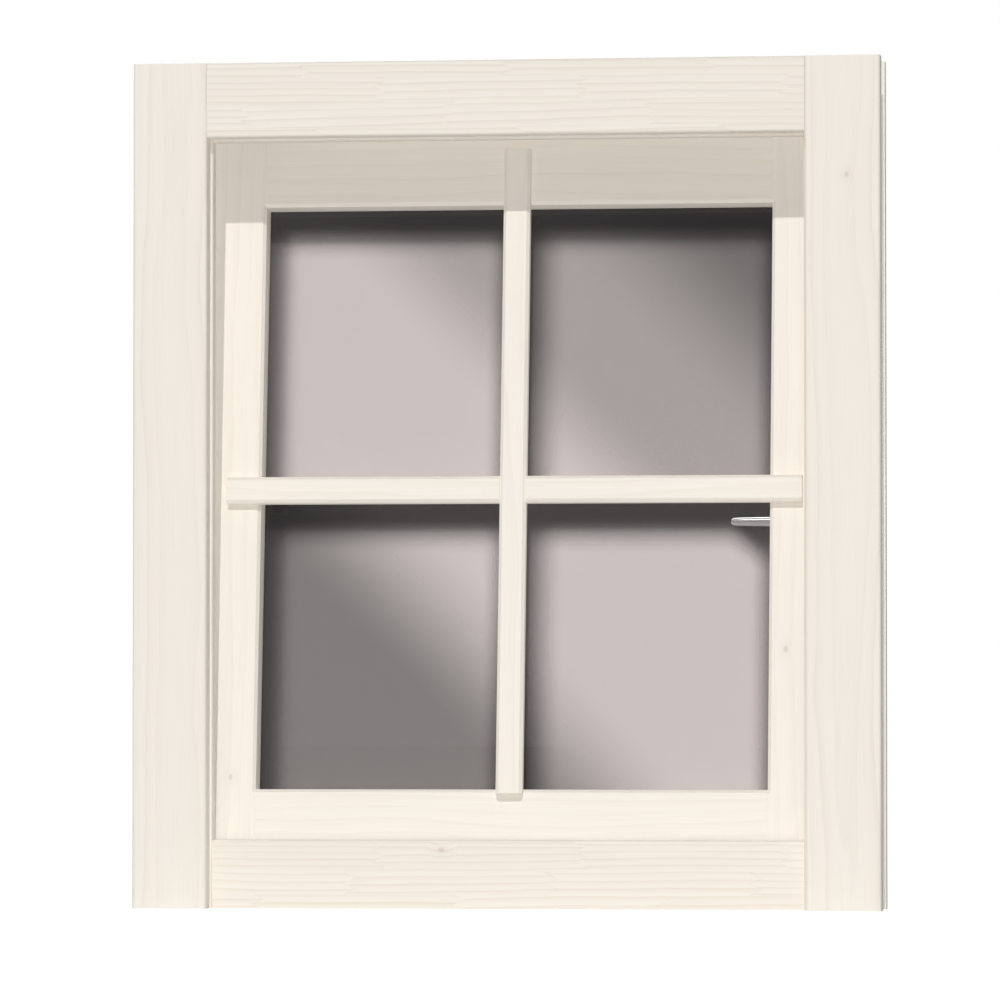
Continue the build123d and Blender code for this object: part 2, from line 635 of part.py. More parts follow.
hinge_plate = (TILT_Z + HINGE_PLATE[0], TILT_Z + HINGE_PLATE[1])
hinge_plate_x = (SASH_X - HINGE_PLATE_IN[0], SASH_X - HINGE_PLATE_IN[1])
hinge_plate_wide = hinge_plate_x[1] - hinge_plate_x[0]
hinge_plate_high = hinge_plate[1] - hinge_plate[0]
hinge_screw_x = (hinge_plate_x[0] + HINGE_SCREWS[2], hinge_plate_x[1] - HINGE_SCREWS[2])
hinge_screw_z = (hinge_plate[0] + HINGE_SCREWS[0], hinge_plate[1] - HINGE_SCREWS[1])
hardware_planes = []
for side in (-1, 1):
    for x in hinge_screw_x:
        for z in hinge_screw_z:
            hardware_planes.append(
                tilted(aimed((side * x, SASH_BACK + PLATE, z), (0, -1, 0), (1, 0, 0)))
            )
guide_x = (HINGE_X + open_run - GUIDE_PAST, HINGE_X + closed_run + GUIDE_PAST)
guide_wide = STAY_WIDE + 2.0
for x in (guide_x[0] + GUIDE_SCREW_IN, guide_x[1] - GUIDE_SCREW_IN):
    hardware_planes.append(tilted(aimed((x, LOCK_Y, SASH_TOP), (0, 0, -1), (1, 0, 0))))
pieces["hardware_screws"] = screws(hardware_planes, PLATE_SCREW)
hardware_holes = screws(hardware_planes, PLATE_SCREW, recess=False).part

plate_wide, plate_thick = FACEPLATE
plate_planes = [
    tilted(aimed((SASH_X, LOCK_Y, height), (-1, 0, 0), (0, 1, 0)))
    for height in (
        FACEPLATE_SPAN[0] + FACE_SCREW_IN,
        (CAM_HEIGHTS[0] + HANDLE_Z - GEARBOX[1] / 2) / 2,
        (CAM_HEIGHTS[1] + HANDLE_Z + GEARBOX[1] / 2) / 2,
        FACEPLATE_SPAN[1] - FACE_SCREW_IN,
    )
]
pieces["faceplate_screws"] = screws(plate_planes, FACE_SCREW)
plate_holes = screws(plate_planes, FACE_SCREW, recess=False).part

spacing = ROSETTE_SCREW_SPACING / 2
rosette_front = SASH_BACK + ROSETTE[2]
rosette_planes = [
    tilted(aimed((HANDLE_X, rosette_front, HANDLE_Z + offset), (0, -1, 0), (1, 0, 0)))
    for offset in (-spacing, spacing)
]
pieces["rosette_screws"] = screws(rosette_planes, ROSETTE_SCREW)
rosette_holes = screws(rosette_planes, ROSETTE_SCREW, recess=False).part

# ---- Sash timber ------------------------------------------------------------------------
CHANNEL_SPARE = 1.7          # depth behind the drive rod
ROD_SEAT = 0.2               # drive rod off the middle of its channel
channel_floor = SASH_X - plate_thick - ROD[1] - 2 * ROD_GAP - CHANNEL_SPARE
rod_wide, rod_thick = ROD
box_wide, box_high, box_deep = GEARBOX
TENON_FACE = SASH_FACE + TENON_INSET
TENON_X = SIGHT_X + TENON_LONG
BOTTOM_TENON = (SASH_BASE + TENON_INSET, SIGHT_BASE - TENON_SIGHT)
TOP_TENON = (SIGHT_TOP + TENON_SIGHT, SASH_TOP - TENON_TOP)

with BuildPart() as tenons:
    for low, high in (BOTTOM_TENON, TOP_TENON):
        with BuildSketch(tilted(Plane.YZ)):
            with BuildLine():
                Polyline(*box_points(TENON_FACE, low, TENON_FACE + TENON_THICK, high), close=True)
            make_face()
        extrude(amount=TENON_X, both=True)


# The bevel round the glass is mitred, and stops at the joints.
with BuildPart() as sight_bevel:
    with BuildSketch(tilted(facing(SASH_FACE + SASH_BEVEL))):
        with Locations((0, (SIGHT_BASE + SIGHT_TOP) / 2)):
            Rectangle(2 * SIGHT_X, SIGHT_TOP - SIGHT_BASE)
    extrude(amount=SASH_BEVEL, taper=-45)


def stile_outline(side):
    """A stile's section: the glass step on its inner edge, towards the room."""
    edge, sight, step = side * SASH_X, side * SIGHT_X, side * STEP_X
    return (
        (edge, SASH_FACE), (sight, SASH_FACE), (sight, GLASS_STEP), (step, GLASS_STEP),
        (step, SASH_BACK), (edge, SASH_BACK),
    )


stile_length = SASH_TOP - SASH_BASE
with BuildPart() as guide_recess:
    with BuildSketch(tilted(Plane.XY.offset(SASH_TOP))):
        with Locations(((guide_x[0] + guide_x[1]) / 2, LOCK_Y)):
            Rectangle(guide_x[1] - guide_x[0], guide_wide)
    extrude(amount=-PLATE)
    with BuildSketch(tilted(Plane.XY.offset(SASH_TOP))):
        with Locations(((guide_x[0] + guide_x[1]) / 2, LOCK_Y)):
            Rectangle(GUIDE_TRENCH[0], guide_wide - 4.0)
    extrude(amount=-PLATE - GUIDE_TRENCH[1])

pieces["sash_stile_left"] = member(
    tilted(Plane.XY.offset(SASH_BASE)), stile_outline(-1), stile_length,
    eased=((-SASH_X, SASH_FACE),), ease=chamfer, size=SASH_BEVEL,
    cutters=(tenons.part, sight_bevel.part),
)

with BuildPart() as lock_pockets:
    with BuildSketch(tilted(Plane.YZ.offset(SASH_X))):
        with Locations((LOCK_Y, sum(FACEPLATE_SPAN) / 2)):
            Rectangle(plate_wide, FACEPLATE_SPAN[1] - FACEPLATE_SPAN[0])
    extrude(amount=-plate_thick)
    with BuildSketch(tilted(Plane.YZ.offset(SASH_X - plate_thick))):
        with Locations((LOCK_Y, sum(ROD_SPAN) / 2)):
            Rectangle(rod_wide + 2 * ROD_GAP, ROD_SPAN[1] - ROD_SPAN[0] + 2 * LOCK_STROKE + 4.0)
    extrude(amount=channel_floor - SASH_X + plate_thick)
    with BuildSketch(tilted(Plane.YZ.offset(channel_floor))):
        with Locations((LOCK_Y, HANDLE_Z)):
            Rectangle(box_wide, box_high)
    extrude(amount=-box_deep)
    with BuildSketch(tilted(facing(LOCK_Y))):
        with Locations((HANDLE_X, HANDLE_Z)):
            Circle(SPINDLE_HOLE)
    extrude(amount=-(SASH_BACK - LOCK_Y))
pieces["sash_stile_right"] = member(
    tilted(Plane.XY.offset(SASH_BASE)), stile_outline(1), stile_length,
    eased=((SASH_X, SASH_FACE),), ease=chamfer, size=SASH_BEVEL,
    cutters=(tenons.part, sight_bevel.part, lock_pockets.part),
)


def rail(low, high, sight, step, tenon):
    """A rail between the stiles: deeper behind the glass step, with a tenon at each end."""
    outer = low if sight == high else high
    with BuildPart() as timber:
        with BuildSketch(tilted(Plane.YZ)):
            with BuildLine():
                Polyline(*box_points(SASH_FACE, low, GLASS_STEP, high), close=True)
            make_face()
        extrude(amount=SIGHT_X, both=True)
        with BuildSketch(tilted(Plane.YZ)):
            with BuildLine():
                Polyline(*box_points(GLASS_STEP, min(outer, step), SASH_BACK, max(outer, step)), close=True)
            make_face()
        extrude(amount=STEP_X, both=True)
        with BuildSketch(tilted(Plane.YZ)):
            with BuildLine():
                Polyline(*box_points(TENON_FACE, tenon[0], TENON_FACE + TENON_THICK, tenon[1]), close=True)
            make_face()
        extrude(amount=TENON_X, both=True)
        add(guide_recess.part, mode=Mode.SUBTRACT)
        add(sight_bevel.part, mode=Mode.SUBTRACT)
    return timber


pieces["sash_rail_bottom"] = rail(SASH_BASE, SIGHT_BASE, SIGHT_BASE, STEP_BASE, BOTTOM_TENON)
pieces["sash_rail_top"] = rail(SIGHT_TOP, SASH_TOP, SIGHT_TOP, STEP_TOP, TOP_TENON)

# ---- Glazing ------------------------------------------------------------------------------
glass_x = STEP_X - GLASS_EDGE_GAP
glass_low = STEP_BASE + GLASS_EDGE_GAP
glass_high = STEP_TOP - GLASS_EDGE_GAP
outer_y = GLASS_STEP + TAPE
space_y = outer_y + PANE
inner_y = space_y + PANE_SPACE

pieces["glazing_tape"] = ring(
    tilted(facing(GLASS_STEP)), glass_x - TAPE_INSET, glass_low + TAPE_INSET, glass_high - TAPE_INSET,
    TAPE_WIDTH, -TAPE,
)
for name, depth in (("glass_outer", outer_y), ("glass_inner", inner_y)):
    pieces[name] = member(
        tilted(facing(depth)), box_points(-glass_x, glass_low, glass_x, glass_high), -PANE,
    )
pieces["glass_edge_seal"] = ring(
    tilted(facing(space_y)), glass_x, glass_low, glass_high, SPACER_INSET, -PANE_SPACE,
)
pieces["glass_spacer"] = ring(
    tilted(facing(space_y)), glass_x - SPACER_INSET, glass_low + SPACER_INSET,
    glass_high - SPACER_INSET, SPACER_WIDTH, -PANE_SPACE,
)

with BuildPart() as setting_blocks:
    for x in (-glass_x * BLOCK_SHARE, glass_x * BLOCK_SHARE):
        with BuildSketch(tilted(Plane.XY.offset(STEP_BASE))):
            with Locations((x, (outer_y + BEAD_Y) / 2)):
                Rectangle(BLOCK_LONG, BEAD_Y - outer_y)
        extrude(amount=GLASS_EDGE_GAP)
pieces["setting_blocks"] = setting_blocks

# The beads are mitred at their corners and pinned sideways into the sash.
bead_thick = SASH_BACK - BEAD_Y
brad_y = BEAD_Y + bead_thick / 2
brad_planes = []
for side in (-1, 1):
    for z in (SIGHT_BASE + BRAD_IN, MIDDLE, SIGHT_TOP - BRAD_IN):
        brad_planes.append(tilted(aimed((side * SIGHT_X, brad_y, z), (side, 0, 0), (0, 1, 0))))
for z, down in ((SIGHT_BASE, -1), (SIGHT_TOP, 1)):
    for x in (BRAD_IN - SIGHT_X, 0.0, SIGHT_X - BRAD_IN):
        brad_planes.append(tilted(aimed((x, brad_y, z), (0, 0, down), (1, 0, 0))))
with BuildPart() as bead_brads:
    for plane in brad_planes:
        with BuildSketch(plane):
            Circle(BRAD_RADIUS)
        extrude(amount=BRAD_LONG)
pieces["bead_brads"] = bead_brads

bead_outlines = {
    "left": ((-STEP_X, STEP_BASE), (-SIGHT_X, SIGHT_BASE), (-SIGHT_X, SIGHT_TOP), (-STEP_X, STEP_TOP)),
    "right": ((STEP_X, STEP_BASE), (SIGHT_X, SIGHT_BASE), (SIGHT_X, SIGHT_TOP), (STEP_X, STEP_TOP)),
    "bottom": ((-STEP_X, STEP_BASE), (STEP_X, STEP_BASE), (SIGHT_X, SIGHT_BASE), (-SIGHT_X, SIGHT_BASE)),
    "top": ((-STEP_X, STEP_TOP), (STEP_X, STEP_TOP), (SIGHT_X, SIGHT_TOP), (-SIGHT_X, SIGHT_TOP)),
}
bead_sight = {
    "left": (-SIGHT_X, MIDDLE), "right": (SIGHT_X, MIDDLE), "bottom": (0, SIGHT_BASE), "top": (0, SIGHT_TOP),
}
for name, corners in bead_outlines.items():
    with BuildPart() as bead:
        with BuildSketch(tilted(facing(BEAD_Y))):
            with BuildLine():
                Polyline(*corners, close=True)
            make_face()
        extrude(amount=-bead_thick)
        x, z = bead_sight[name]
        arris = tilted(Location((x, SASH_BACK, z))).position
        fillet(bead.edges().sort_by_distance(arris)[0], min(BEAD_ROUND, 0.6 * bead_thick))
    pieces["bead_" + name] = bead

# ---- Glazing bars: a cross on the sash's outdoor face, half-lapped where the bars meet ---
bar_front = SASH_FACE - BAR_THICK
bar_x = SIGHT_X + BAR_LAP_SIDE
bar_low, bar_high = SIGHT_BASE - BAR_LAP_BOTTOM, SIGHT_TOP + BAR_LAP_TOP
half = BAR_WIDTH / 2

with BuildPart() as lap_back:
    with BuildSketch(tilted(facing(SASH_FACE))):
        with Locations((0, BAR_Z)):
            Rectangle(BAR_WIDTH, BAR_WIDTH)
    extrude(amount=BAR_THICK / 2)
with BuildPart() as lap_front:
    with BuildSketch(tilted(facing(SASH_FACE - BAR_THICK / 2))):
        with Locations((0, BAR_Z)):
            Rectangle(BAR_WIDTH, BAR_WIDTH)
    extrude(amount=BAR_THICK / 2)

pieces["bar_vertical"] = member(
    tilted(Plane.XY.offset(bar_low)), box_points(-half, bar_front, half, SASH_FACE), bar_high - bar_low,
    eased=((-half, bar_front), (half, bar_front)), ease=chamfer, size=BAR_BEVEL,
    cutters=(lap_back.part,),
)
pieces["bar_horizontal"] = member(
    tilted(Plane.YZ.offset(-bar_x)), box_points(bar_front, BAR_Z - half, SASH_FACE, BAR_Z + half),
    2 * bar_x,
    eased=((bar_front, BAR_Z - half), (bar_front, BAR_Z + half)), ease=chamfer, size=BAR_BEVEL,
    cutters=(lap_front.part,),
)

for name in (
    "sash_stile_left", "sash_stile_right", "sash_rail_bottom", "sash_rail_top", "bead_left",
    "bead_right", "bead_bottom", "bead_top", "bar_vertical", "bar_horizontal",
):
    with BuildPart() as drilled:
        add(pieces[name].part)
        for holes in (bar_holes, hardware_holes, plate_holes, rosette_holes, bead_brads.part):
            add(holes, mode=Mode.SUBTRACT)
    pieces[name] = drilled

# ---- Sash hinge, tilt pin and stay guide ---------------------------------------------------
with BuildPart() as sash_hinge:
    with BuildSketch(tilted(facing(SASH_BACK))):
        with Locations((-(hinge_plate_x[0] + hinge_plate_x[1]) / 2, sum(hinge_plate) / 2)):
            RectangleRounded(hinge_plate_wide, hinge_plate_high, PLATE_ROUND)
    extrude(amount=-PLATE)
    with BuildSketch(tilted(Plane.YZ.offset(HINGE_X + HINGE_CLEAR))):
        with Locations((AXIS_Y, TILT_Z)):
            Circle(EYE)
        with BuildLine():
            Polyline(*box_points(SASH_BACK, TILT_Z, AXIS_Y, hinge_plate[0] + 4.0), close=True)
        make_face()
        with Locations((AXIS_Y, TILT_Z)):
            Circle(STUB_RADIUS + RUNNING, mode=Mode.SUBTRACT)
    extrude(amount=STUB_LONG - HINGE_CLEAR - 1.0)
    add(hardware_holes, mode=Mode.SUBTRACT)
pieces["sash_hinge"] = sash_hinge

with BuildPart() as tilt_pin:
    with BuildSketch(tilted(facing(SASH_BACK))):
        with Locations(((hinge_plate_x[0] + hinge_plate_x[1]) / 2, sum(hinge_plate) / 2)):
            RectangleRounded(hinge_plate_wide, hinge_plate_high, PLATE_ROUND)
    extrude(amount=-PLATE)
    with BuildSketch(tilted(Plane.YZ.offset(TILT_PIN_X[0]))):
        with Locations((AXIS_Y, TILT_Z)):
            Circle(EYE)
        with BuildLine():
            Polyline(*box_points(SASH_BACK, TILT_Z, AXIS_Y, hinge_plate[0] + 4.0), close=True)
        make_face()
    extrude(amount=TILT_PIN_X[1] - TILT_PIN_X[0])
    with BuildSketch(tilted(Plane.YZ.offset(TILT_PIN_X[0]))):
        with Locations((AXIS_Y, TILT_Z)):
            Circle(STUB_RADIUS)
    extrude(amount=TILT_PIN_X[2] - TILT_PIN_X[0])
    add(hardware_holes, mode=Mode.SUBTRACT)
pieces["tilt_pin"] = tilt_pin

slot_x = (HINGE_X + open_run, HINGE_X + closed_run)
with BuildPart() as stay_guide:
    with BuildSketch(tilted(Plane.XY.offset(SASH_TOP - PLATE))):
        with Locations(((guide_x[0] + guide_x[1]) / 2, LOCK_Y)):
            Rectangle(guide_x[1] - guide_x[0], guide_wide)
        with Locations((sum(slot_x) / 2, LOCK_Y)):
            SlotCenterToCenter(
                slot_x[1] - slot_x[0] + 2 * STAY_PIN_SLACK, 2 * (PIN_RADIUS + STAY_PIN_SLACK),
                mode=Mode.SUBTRACT,
            )
    extrude(amount=PLATE)
    add(hardware_holes, mode=Mode.SUBTRACT)
pieces["stay_guide"] = stay_guide

# ---- Lock: faceplate, gearbox, rod and cams -------------------------------------------------
with BuildPart() as faceplate:
    with BuildSketch(tilted(Plane.YZ.offset(SASH_X - plate_thick))):
        with Locations((LOCK_Y, sum(FACEPLATE_SPAN) / 2)):
            Rectangle(plate_wide, FACEPLATE_SPAN[1] - FACEPLATE_SPAN[0])
        for height in CAM_HEIGHTS:
            with Locations((LOCK_Y, height)):
                SlotCenterToCenter(
                    2 * LOCK_STROKE + 2.0, 2 * (CAM_RADIUS + 0.75), rotation=90, mode=Mode.SUBTRACT,
                )
    extrude(amount=plate_thick)
    add(plate_holes, mode=Mode.SUBTRACT)
pieces["faceplate"] = faceplate

with BuildPart() as gearbox:
    with BuildSketch(tilted(Plane.YZ.offset(channel_floor))):
        with Locations((LOCK_Y, HANDLE_Z)):
            Rectangle(box_wide, box_high)
    extrude(amount=-box_deep)
    with BuildSketch(tilted(facing(LOCK_Y + box_wide / 2))):
        with Locations((HANDLE_X, HANDLE_Z)):
            Circle(FOLLOWER + RUNNING)
    extrude(amount=box_wide, mode=Mode.SUBTRACT)
    add(rosette_holes, mode=Mode.SUBTRACT)
pieces["gearbox"] = gearbox

rod_inner = channel_floor + ROD_GAP + ROD_SEAT
with BuildPart() as drive_rod:
    with BuildSketch(tilted(Plane.YZ.offset(rod_inner))):
        with Locations((LOCK_Y, sum(ROD_SPAN) / 2)):
            Rectangle(rod_wide, ROD_SPAN[1] - ROD_SPAN[0])
        for plane in plate_planes:
            place = (SWING.inverse() * Location(plane.origin)).position
            if ROD_SPAN[0] < place.Z < ROD_SPAN[1]:
                with Locations((LOCK_Y, place.Z)):
                    SlotCenterToCenter(2 * LOCK_STROKE + 2.0, 2 * (FACE_SCREW[0] + 0.5), rotation=90,
                                       mode=Mode.SUBTRACT)
    extrude(amount=rod_thick)
pieces["drive_rod"] = drive_rod

with BuildPart() as lock_cams:
    head_radius, head_thick = CAM_HEAD
    for height in CAM_HEIGHTS:
        centre = (LOCK_Y, height)
        with BuildSketch(tilted(Plane.YZ.offset(rod_inner + rod_thick))):
            with Locations(centre):
                Circle(CAM_RADIUS)
        extrude(amount=SASH_X + CAM_REACH - rod_inner - rod_thick)
        with BuildSketch(tilted(Plane.YZ.offset(SASH_X + CAM_REACH - head_thick))):
            with Locations(centre):
                Circle(head_radius)
        extrude(amount=head_thick)
pieces["lock_cams"] = lock_cams

# ---- Handle ---------------------------------------------------------------------------------
rosette_wide, rosette_high, rosette_thick = ROSETTE
for name, depth, thick in (
    ("rosette", SASH_BACK, rosette_thick), ("rosette_cap", rosette_front, ROSETTE_CAP),
):
    with BuildPart() as plate:
        with BuildSketch(tilted(facing(depth))):
            with Locations((HANDLE_X, HANDLE_Z)):
                RectangleRounded(rosette_wide, rosette_high, rosette_wide / 2 - 1.0)
                Circle(NECK_RADIUS + RUNNING, mode=Mode.SUBTRACT)
        extrude(amount=-thick)
        if name == "rosette_cap":
            rim = tilted(Location((HANDLE_X - rosette_wide / 2, depth + thick, HANDLE_Z))).position
            chamfer(plate.edges().sort_by_distance(rim)[0], 1.0)
        add(rosette_holes, mode=Mode.SUBTRACT)
    pieces[name] = plate

with BuildPart() as follower:
    with BuildSketch(tilted(facing(LOCK_Y + box_wide / 2))):
        with Locations((HANDLE_X, HANDLE_Z)):
            Circle(FOLLOWER)
            Rectangle(SPINDLE, SPINDLE, mode=Mode.SUBTRACT)
    extrude(amount=box_wide)
pieces["follower"] = follower

spindle_ends = (LOCK_Y - box_wide / 2 + 1.0, SASH_BACK + SPINDLE_OUT)
with BuildPart() as spindle:
    with BuildSketch(tilted(facing(spindle_ends[0]))):
        with Locations((HANDLE_X, HANDLE_Z)):
            Rectangle(SPINDLE, SPINDLE)
    extrude(amount=spindle_ends[0] - spindle_ends[1])
pieces["spindle"] = spindle

neck_base = SASH_BACK + NECK_GAP
neck_end = neck_base + NECK_LONG
with BuildPart() as handle_lever:
    with BuildSketch(tilted(facing(neck_end))):
        with Locations((HANDLE_X, HANDLE_Z)):
            Circle(LEVER_ENDS[0])
        with Locations((HANDLE_X - LEVER_LONG + LEVER_ENDS[1], HANDLE_Z)):
            Circle(LEVER_ENDS[1])
        make_hull()
    extrude(amount=-LEVER_THICK)
    fillet(handle_lever.edges(), LEVER_ROUND)
    with BuildSketch(tilted(facing(neck_base))):
        with Locations((HANDLE_X, HANDLE_Z)):
            Circle(NECK_RADIUS)
    extrude(amount=-NECK_LONG - LEVER_THICK / 2)
    with BuildSketch(tilted(facing(SASH_BACK))):
        with Locations((HANDLE_X, HANDLE_Z)):
            Rectangle(SPINDLE, SPINDLE)
    extrude(amount=SASH_BACK - spindle_ends[1], mode=Mode.SUBTRACT)
pieces["handle_lever"] = handle_lever

# ---- Write every piece -----------------------------------------------------------------------
os.makedirs("parts", exist_ok=True)
for name, piece in pieces.items():
    piece.part.label = name
    export_step(piece.part, "parts/" + name + ".step")
print(len(pieces), "pieces")
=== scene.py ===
import json
from math import cos, pi, radians, sin

import bmesh
import bpy
from mathutils import Matrix, Vector


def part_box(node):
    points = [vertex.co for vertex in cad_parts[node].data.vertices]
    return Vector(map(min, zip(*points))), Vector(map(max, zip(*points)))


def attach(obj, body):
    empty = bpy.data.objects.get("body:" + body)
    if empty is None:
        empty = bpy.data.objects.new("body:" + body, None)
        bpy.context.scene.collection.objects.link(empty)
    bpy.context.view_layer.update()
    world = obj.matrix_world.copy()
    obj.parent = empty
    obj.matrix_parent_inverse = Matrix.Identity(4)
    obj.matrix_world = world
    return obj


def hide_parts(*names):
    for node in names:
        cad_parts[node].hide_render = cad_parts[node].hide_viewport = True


# A whitewashed spruce window, tilted open, seen from outdoors and a little to the right.
# Units are metres. X is to the right, Y runs indoors and Z is up, as in the model.

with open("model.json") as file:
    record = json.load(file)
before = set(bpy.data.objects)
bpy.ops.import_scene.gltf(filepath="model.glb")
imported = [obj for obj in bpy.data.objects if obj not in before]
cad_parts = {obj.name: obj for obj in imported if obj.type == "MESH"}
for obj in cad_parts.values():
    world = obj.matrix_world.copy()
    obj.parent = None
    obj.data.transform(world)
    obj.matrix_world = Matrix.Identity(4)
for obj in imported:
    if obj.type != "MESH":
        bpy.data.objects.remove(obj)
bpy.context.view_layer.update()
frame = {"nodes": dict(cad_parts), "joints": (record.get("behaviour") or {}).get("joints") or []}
nodes = frame["nodes"]
joints = {joint["name"]: joint for joint in frame["joints"]}

MM = 0.001

# ---- The sash's own position -------------------------------------------------------
TILT = radians(-joints["tilt"]["range_deg"][0])
PIVOT = Vector(joints["tilt"]["pos_m"])
CLOSE = Matrix.Translation(PIVOT) @ Matrix.Rotation(TILT, 4, "X") @ Matrix.Translation(-PIVOT)
OPEN = CLOSE.inverted()


def closed_box(name):
    """Lowest and highest corners of a sash node, as if the sash were closed."""
    points = [CLOSE @ vertex.co for vertex in nodes[name].data.vertices]
    low = Vector([min(point[axis] for point in points) for axis in range(3)])
    high = Vector([max(point[axis] for point in points) for axis in range(3)])
    return low, high


# ---- Node helpers ------------------------------------------------------------------
def node(tree, kind, inputs=None, **settings):
    """A shader node with its settings, values and links."""
    made = tree.nodes.new(kind)
    for name, value in settings.items():
        setattr(made, name, value)
    for name, value in (inputs or {}).items():
        if isinstance(value, bpy.types.NodeSocket):
            tree.links.new(value, made.inputs[name])
        else:
            made.inputs[name].default_value = value
    return made


def maths(tree, operation, *values, clamp=False):
    """A Math node's result."""
    made = node(tree, "ShaderNodeMath", operation=operation, use_clamp=clamp)
    for index, value in enumerate(values):
        if isinstance(value, bpy.types.NodeSocket):
            tree.links.new(value, made.inputs[index])
        else:
            made.inputs[index].default_value = value
    return made.outputs[0]


def vector_maths(tree, operation, *values):
    """A Vector Math node's vector, or its value for a length or a dot product."""
    made = node(tree, "ShaderNodeVectorMath", operation=operation)
    for index, value in enumerate(values):
        if isinstance(value, bpy.types.NodeSocket):
            tree.links.new(value, made.inputs[index])
        else:
            made.inputs[index].default_value = value
    return made.outputs["Value" if operation in ("LENGTH", "DISTANCE", "DOT_PRODUCT") else "Vector"]


def ramp_between(tree, value, low, high, to_low=0.0, to_high=1.0):
    """A smooth step from one value to another, clamped at both ends."""
    made = node(
        tree, "ShaderNodeMapRange",
        {"Value": value, "From Min": low, "From Max": high, "To Min": to_low, "To Max": to_high},
        interpolation_type="SMOOTHSTEP",
    )
    return made.outputs["Result"]


def blend(tree, factor, first, second, mode="MIX"):
    """Two colours mixed."""
    made = node(tree, "ShaderNodeMix", data_type="RGBA", blend_type=mode)
    for index, value in ((0, factor), (6, first), (7, second)):
        if isinstance(value, bpy.types.NodeSocket):
            tree.links.new(value, made.inputs[index])
        elif index:
            made.inputs[index].default_value = (*value, 1.0)
        else:
            made.inputs[index].default_value = value
    return made.outputs[2]


def new_group(name, inputs, outputs):
    """An empty shader group with named sockets, and its input and output nodes."""
    group = bpy.data.node_groups.new(name, "ShaderNodeTree")
    for label, kind, value in inputs:
        socket = group.interface.new_socket(name=label, in_out="INPUT", socket_type=kind)
        if value is not None:
            socket.default_value = value
    for label, kind in outputs:
        group.interface.new_socket(name=label, in_out="OUTPUT", socket_type=kind)
    return group, group.nodes.new("NodeGroupInput"), group.nodes.new("NodeGroupOutput")


def fill_group(tree, group, inputs):
    """A group node with its sockets filled."""
    made = tree.nodes.new("ShaderNodeGroup")
    made.node_tree = group
    for name, value in inputs.items():
        if isinstance(value, bpy.types.NodeSocket):
            tree.links.new(value, made.inputs[name])
        else:
            made.inputs[name].default_value = value
    return made


def new_material(name):
    """A material with one Principled shader, and that shader."""
    material = bpy.data.materials.new(name)
    material.use_nodes = True
    return material, material.node_tree, material.node_tree.nodes["Principled BSDF"]


def wear(material, *names):
    """Puts a material on CAD nodes."""
    for name in names:
        data = nodes[name].data
        data.materials.clear()
        data.materials.append(material)


# ---- Shared effects ------------------------------------------------------------------
def make_spruce():
    """Growth rings, fibres and broad patches of sawn spruce. X of Vector runs along the grain."""
    tree, given, result = new_group(
        "spruce grain",
        [
            ("Vector", "NodeSocketVector", None),
            ("Ring Width", "NodeSocketFloat", 0.006),
            ("Pith", "NodeSocketVector", (0.0, 0.0, 0.09)),
            ("Wander", "NodeSocketFloat", 0.006),
        ],
        [("Ring", "NodeSocketFloat"), ("Fibre", "NodeSocketFloat"), ("Patch", "NodeSocketFloat")],
    )
    slow = node(tree, "ShaderNodeVectorMath", operation="MULTIPLY")
    tree.links.new(given.outputs["Vector"], slow.inputs[0])
    slow.inputs[1].default_value = (0.22, 1.0, 1.0)
    drift = node(
        tree, "ShaderNodeTexNoise",
        {"Vector": slow.outputs[0], "Scale": 9.0, "Detail": 3.0, "Roughness": 0.5},
    )
    away = vector_maths(tree, "SUBTRACT", given.outputs["Vector"], given.outputs["Pith"])
    flat = vector_maths(tree, "MULTIPLY", away, (0.0, 1.0, 1.0))
    radius = vector_maths(tree, "LENGTH", flat)
    drifted = maths(tree, "SUBTRACT", drift.outputs["Fac"], 0.5)
    sway = maths(tree, "MULTIPLY", drifted, given.outputs["Wander"])
    radius = maths(tree, "ADD", radius, maths(tree, "MULTIPLY", sway, 4.0))
    year = maths(tree, "DIVIDE", radius, given.outputs["Ring Width"])
    season = maths(tree, "FRACT", year)
    late = maths(tree, "POWER", season, 3.0)
    fade = ramp_between(tree, season, 0.92, 1.0, 1.0, 0.0)
    strength = node(
        tree, "ShaderNodeTexNoise",
        {"Vector": maths_vector(tree, maths(tree, "FLOOR", year)), "Scale": 1.7, "Detail": 0.0},
    )
    ring = maths(tree, "MULTIPLY", maths(tree, "MULTIPLY", late, fade), strength.outputs["Fac"])
    tree.links.new(maths(tree, "MULTIPLY", ring, 2.0, clamp=True), result.inputs["Ring"])

    thin = vector_maths(tree, "MULTIPLY", given.outputs["Vector"], (14.0, 900.0, 900.0))
    fibre = node(tree, "ShaderNodeTexNoise", {"Vector": thin, "Scale": 1.0, "Detail": 3.0, "Roughness": 0.6})
    tree.links.new(fibre.outputs["Fac"], result.inputs["Fibre"])

    broad = vector_maths(tree, "MULTIPLY", given.outputs["Vector"], (2.5, 14.0, 14.0))
    patch = node(tree, "ShaderNodeTexNoise", {"Vector": broad, "Scale": 1.0, "Detail": 2.0})
    tree.links.new(patch.outputs["Fac"], result.inputs["Patch"])
    return tree


def maths_vector(tree, value):
    """A number as a vector along X, for one value of noise per whole number."""
    return node(tree, "ShaderNodeCombineXYZ", {"X": value}).outputs[0]


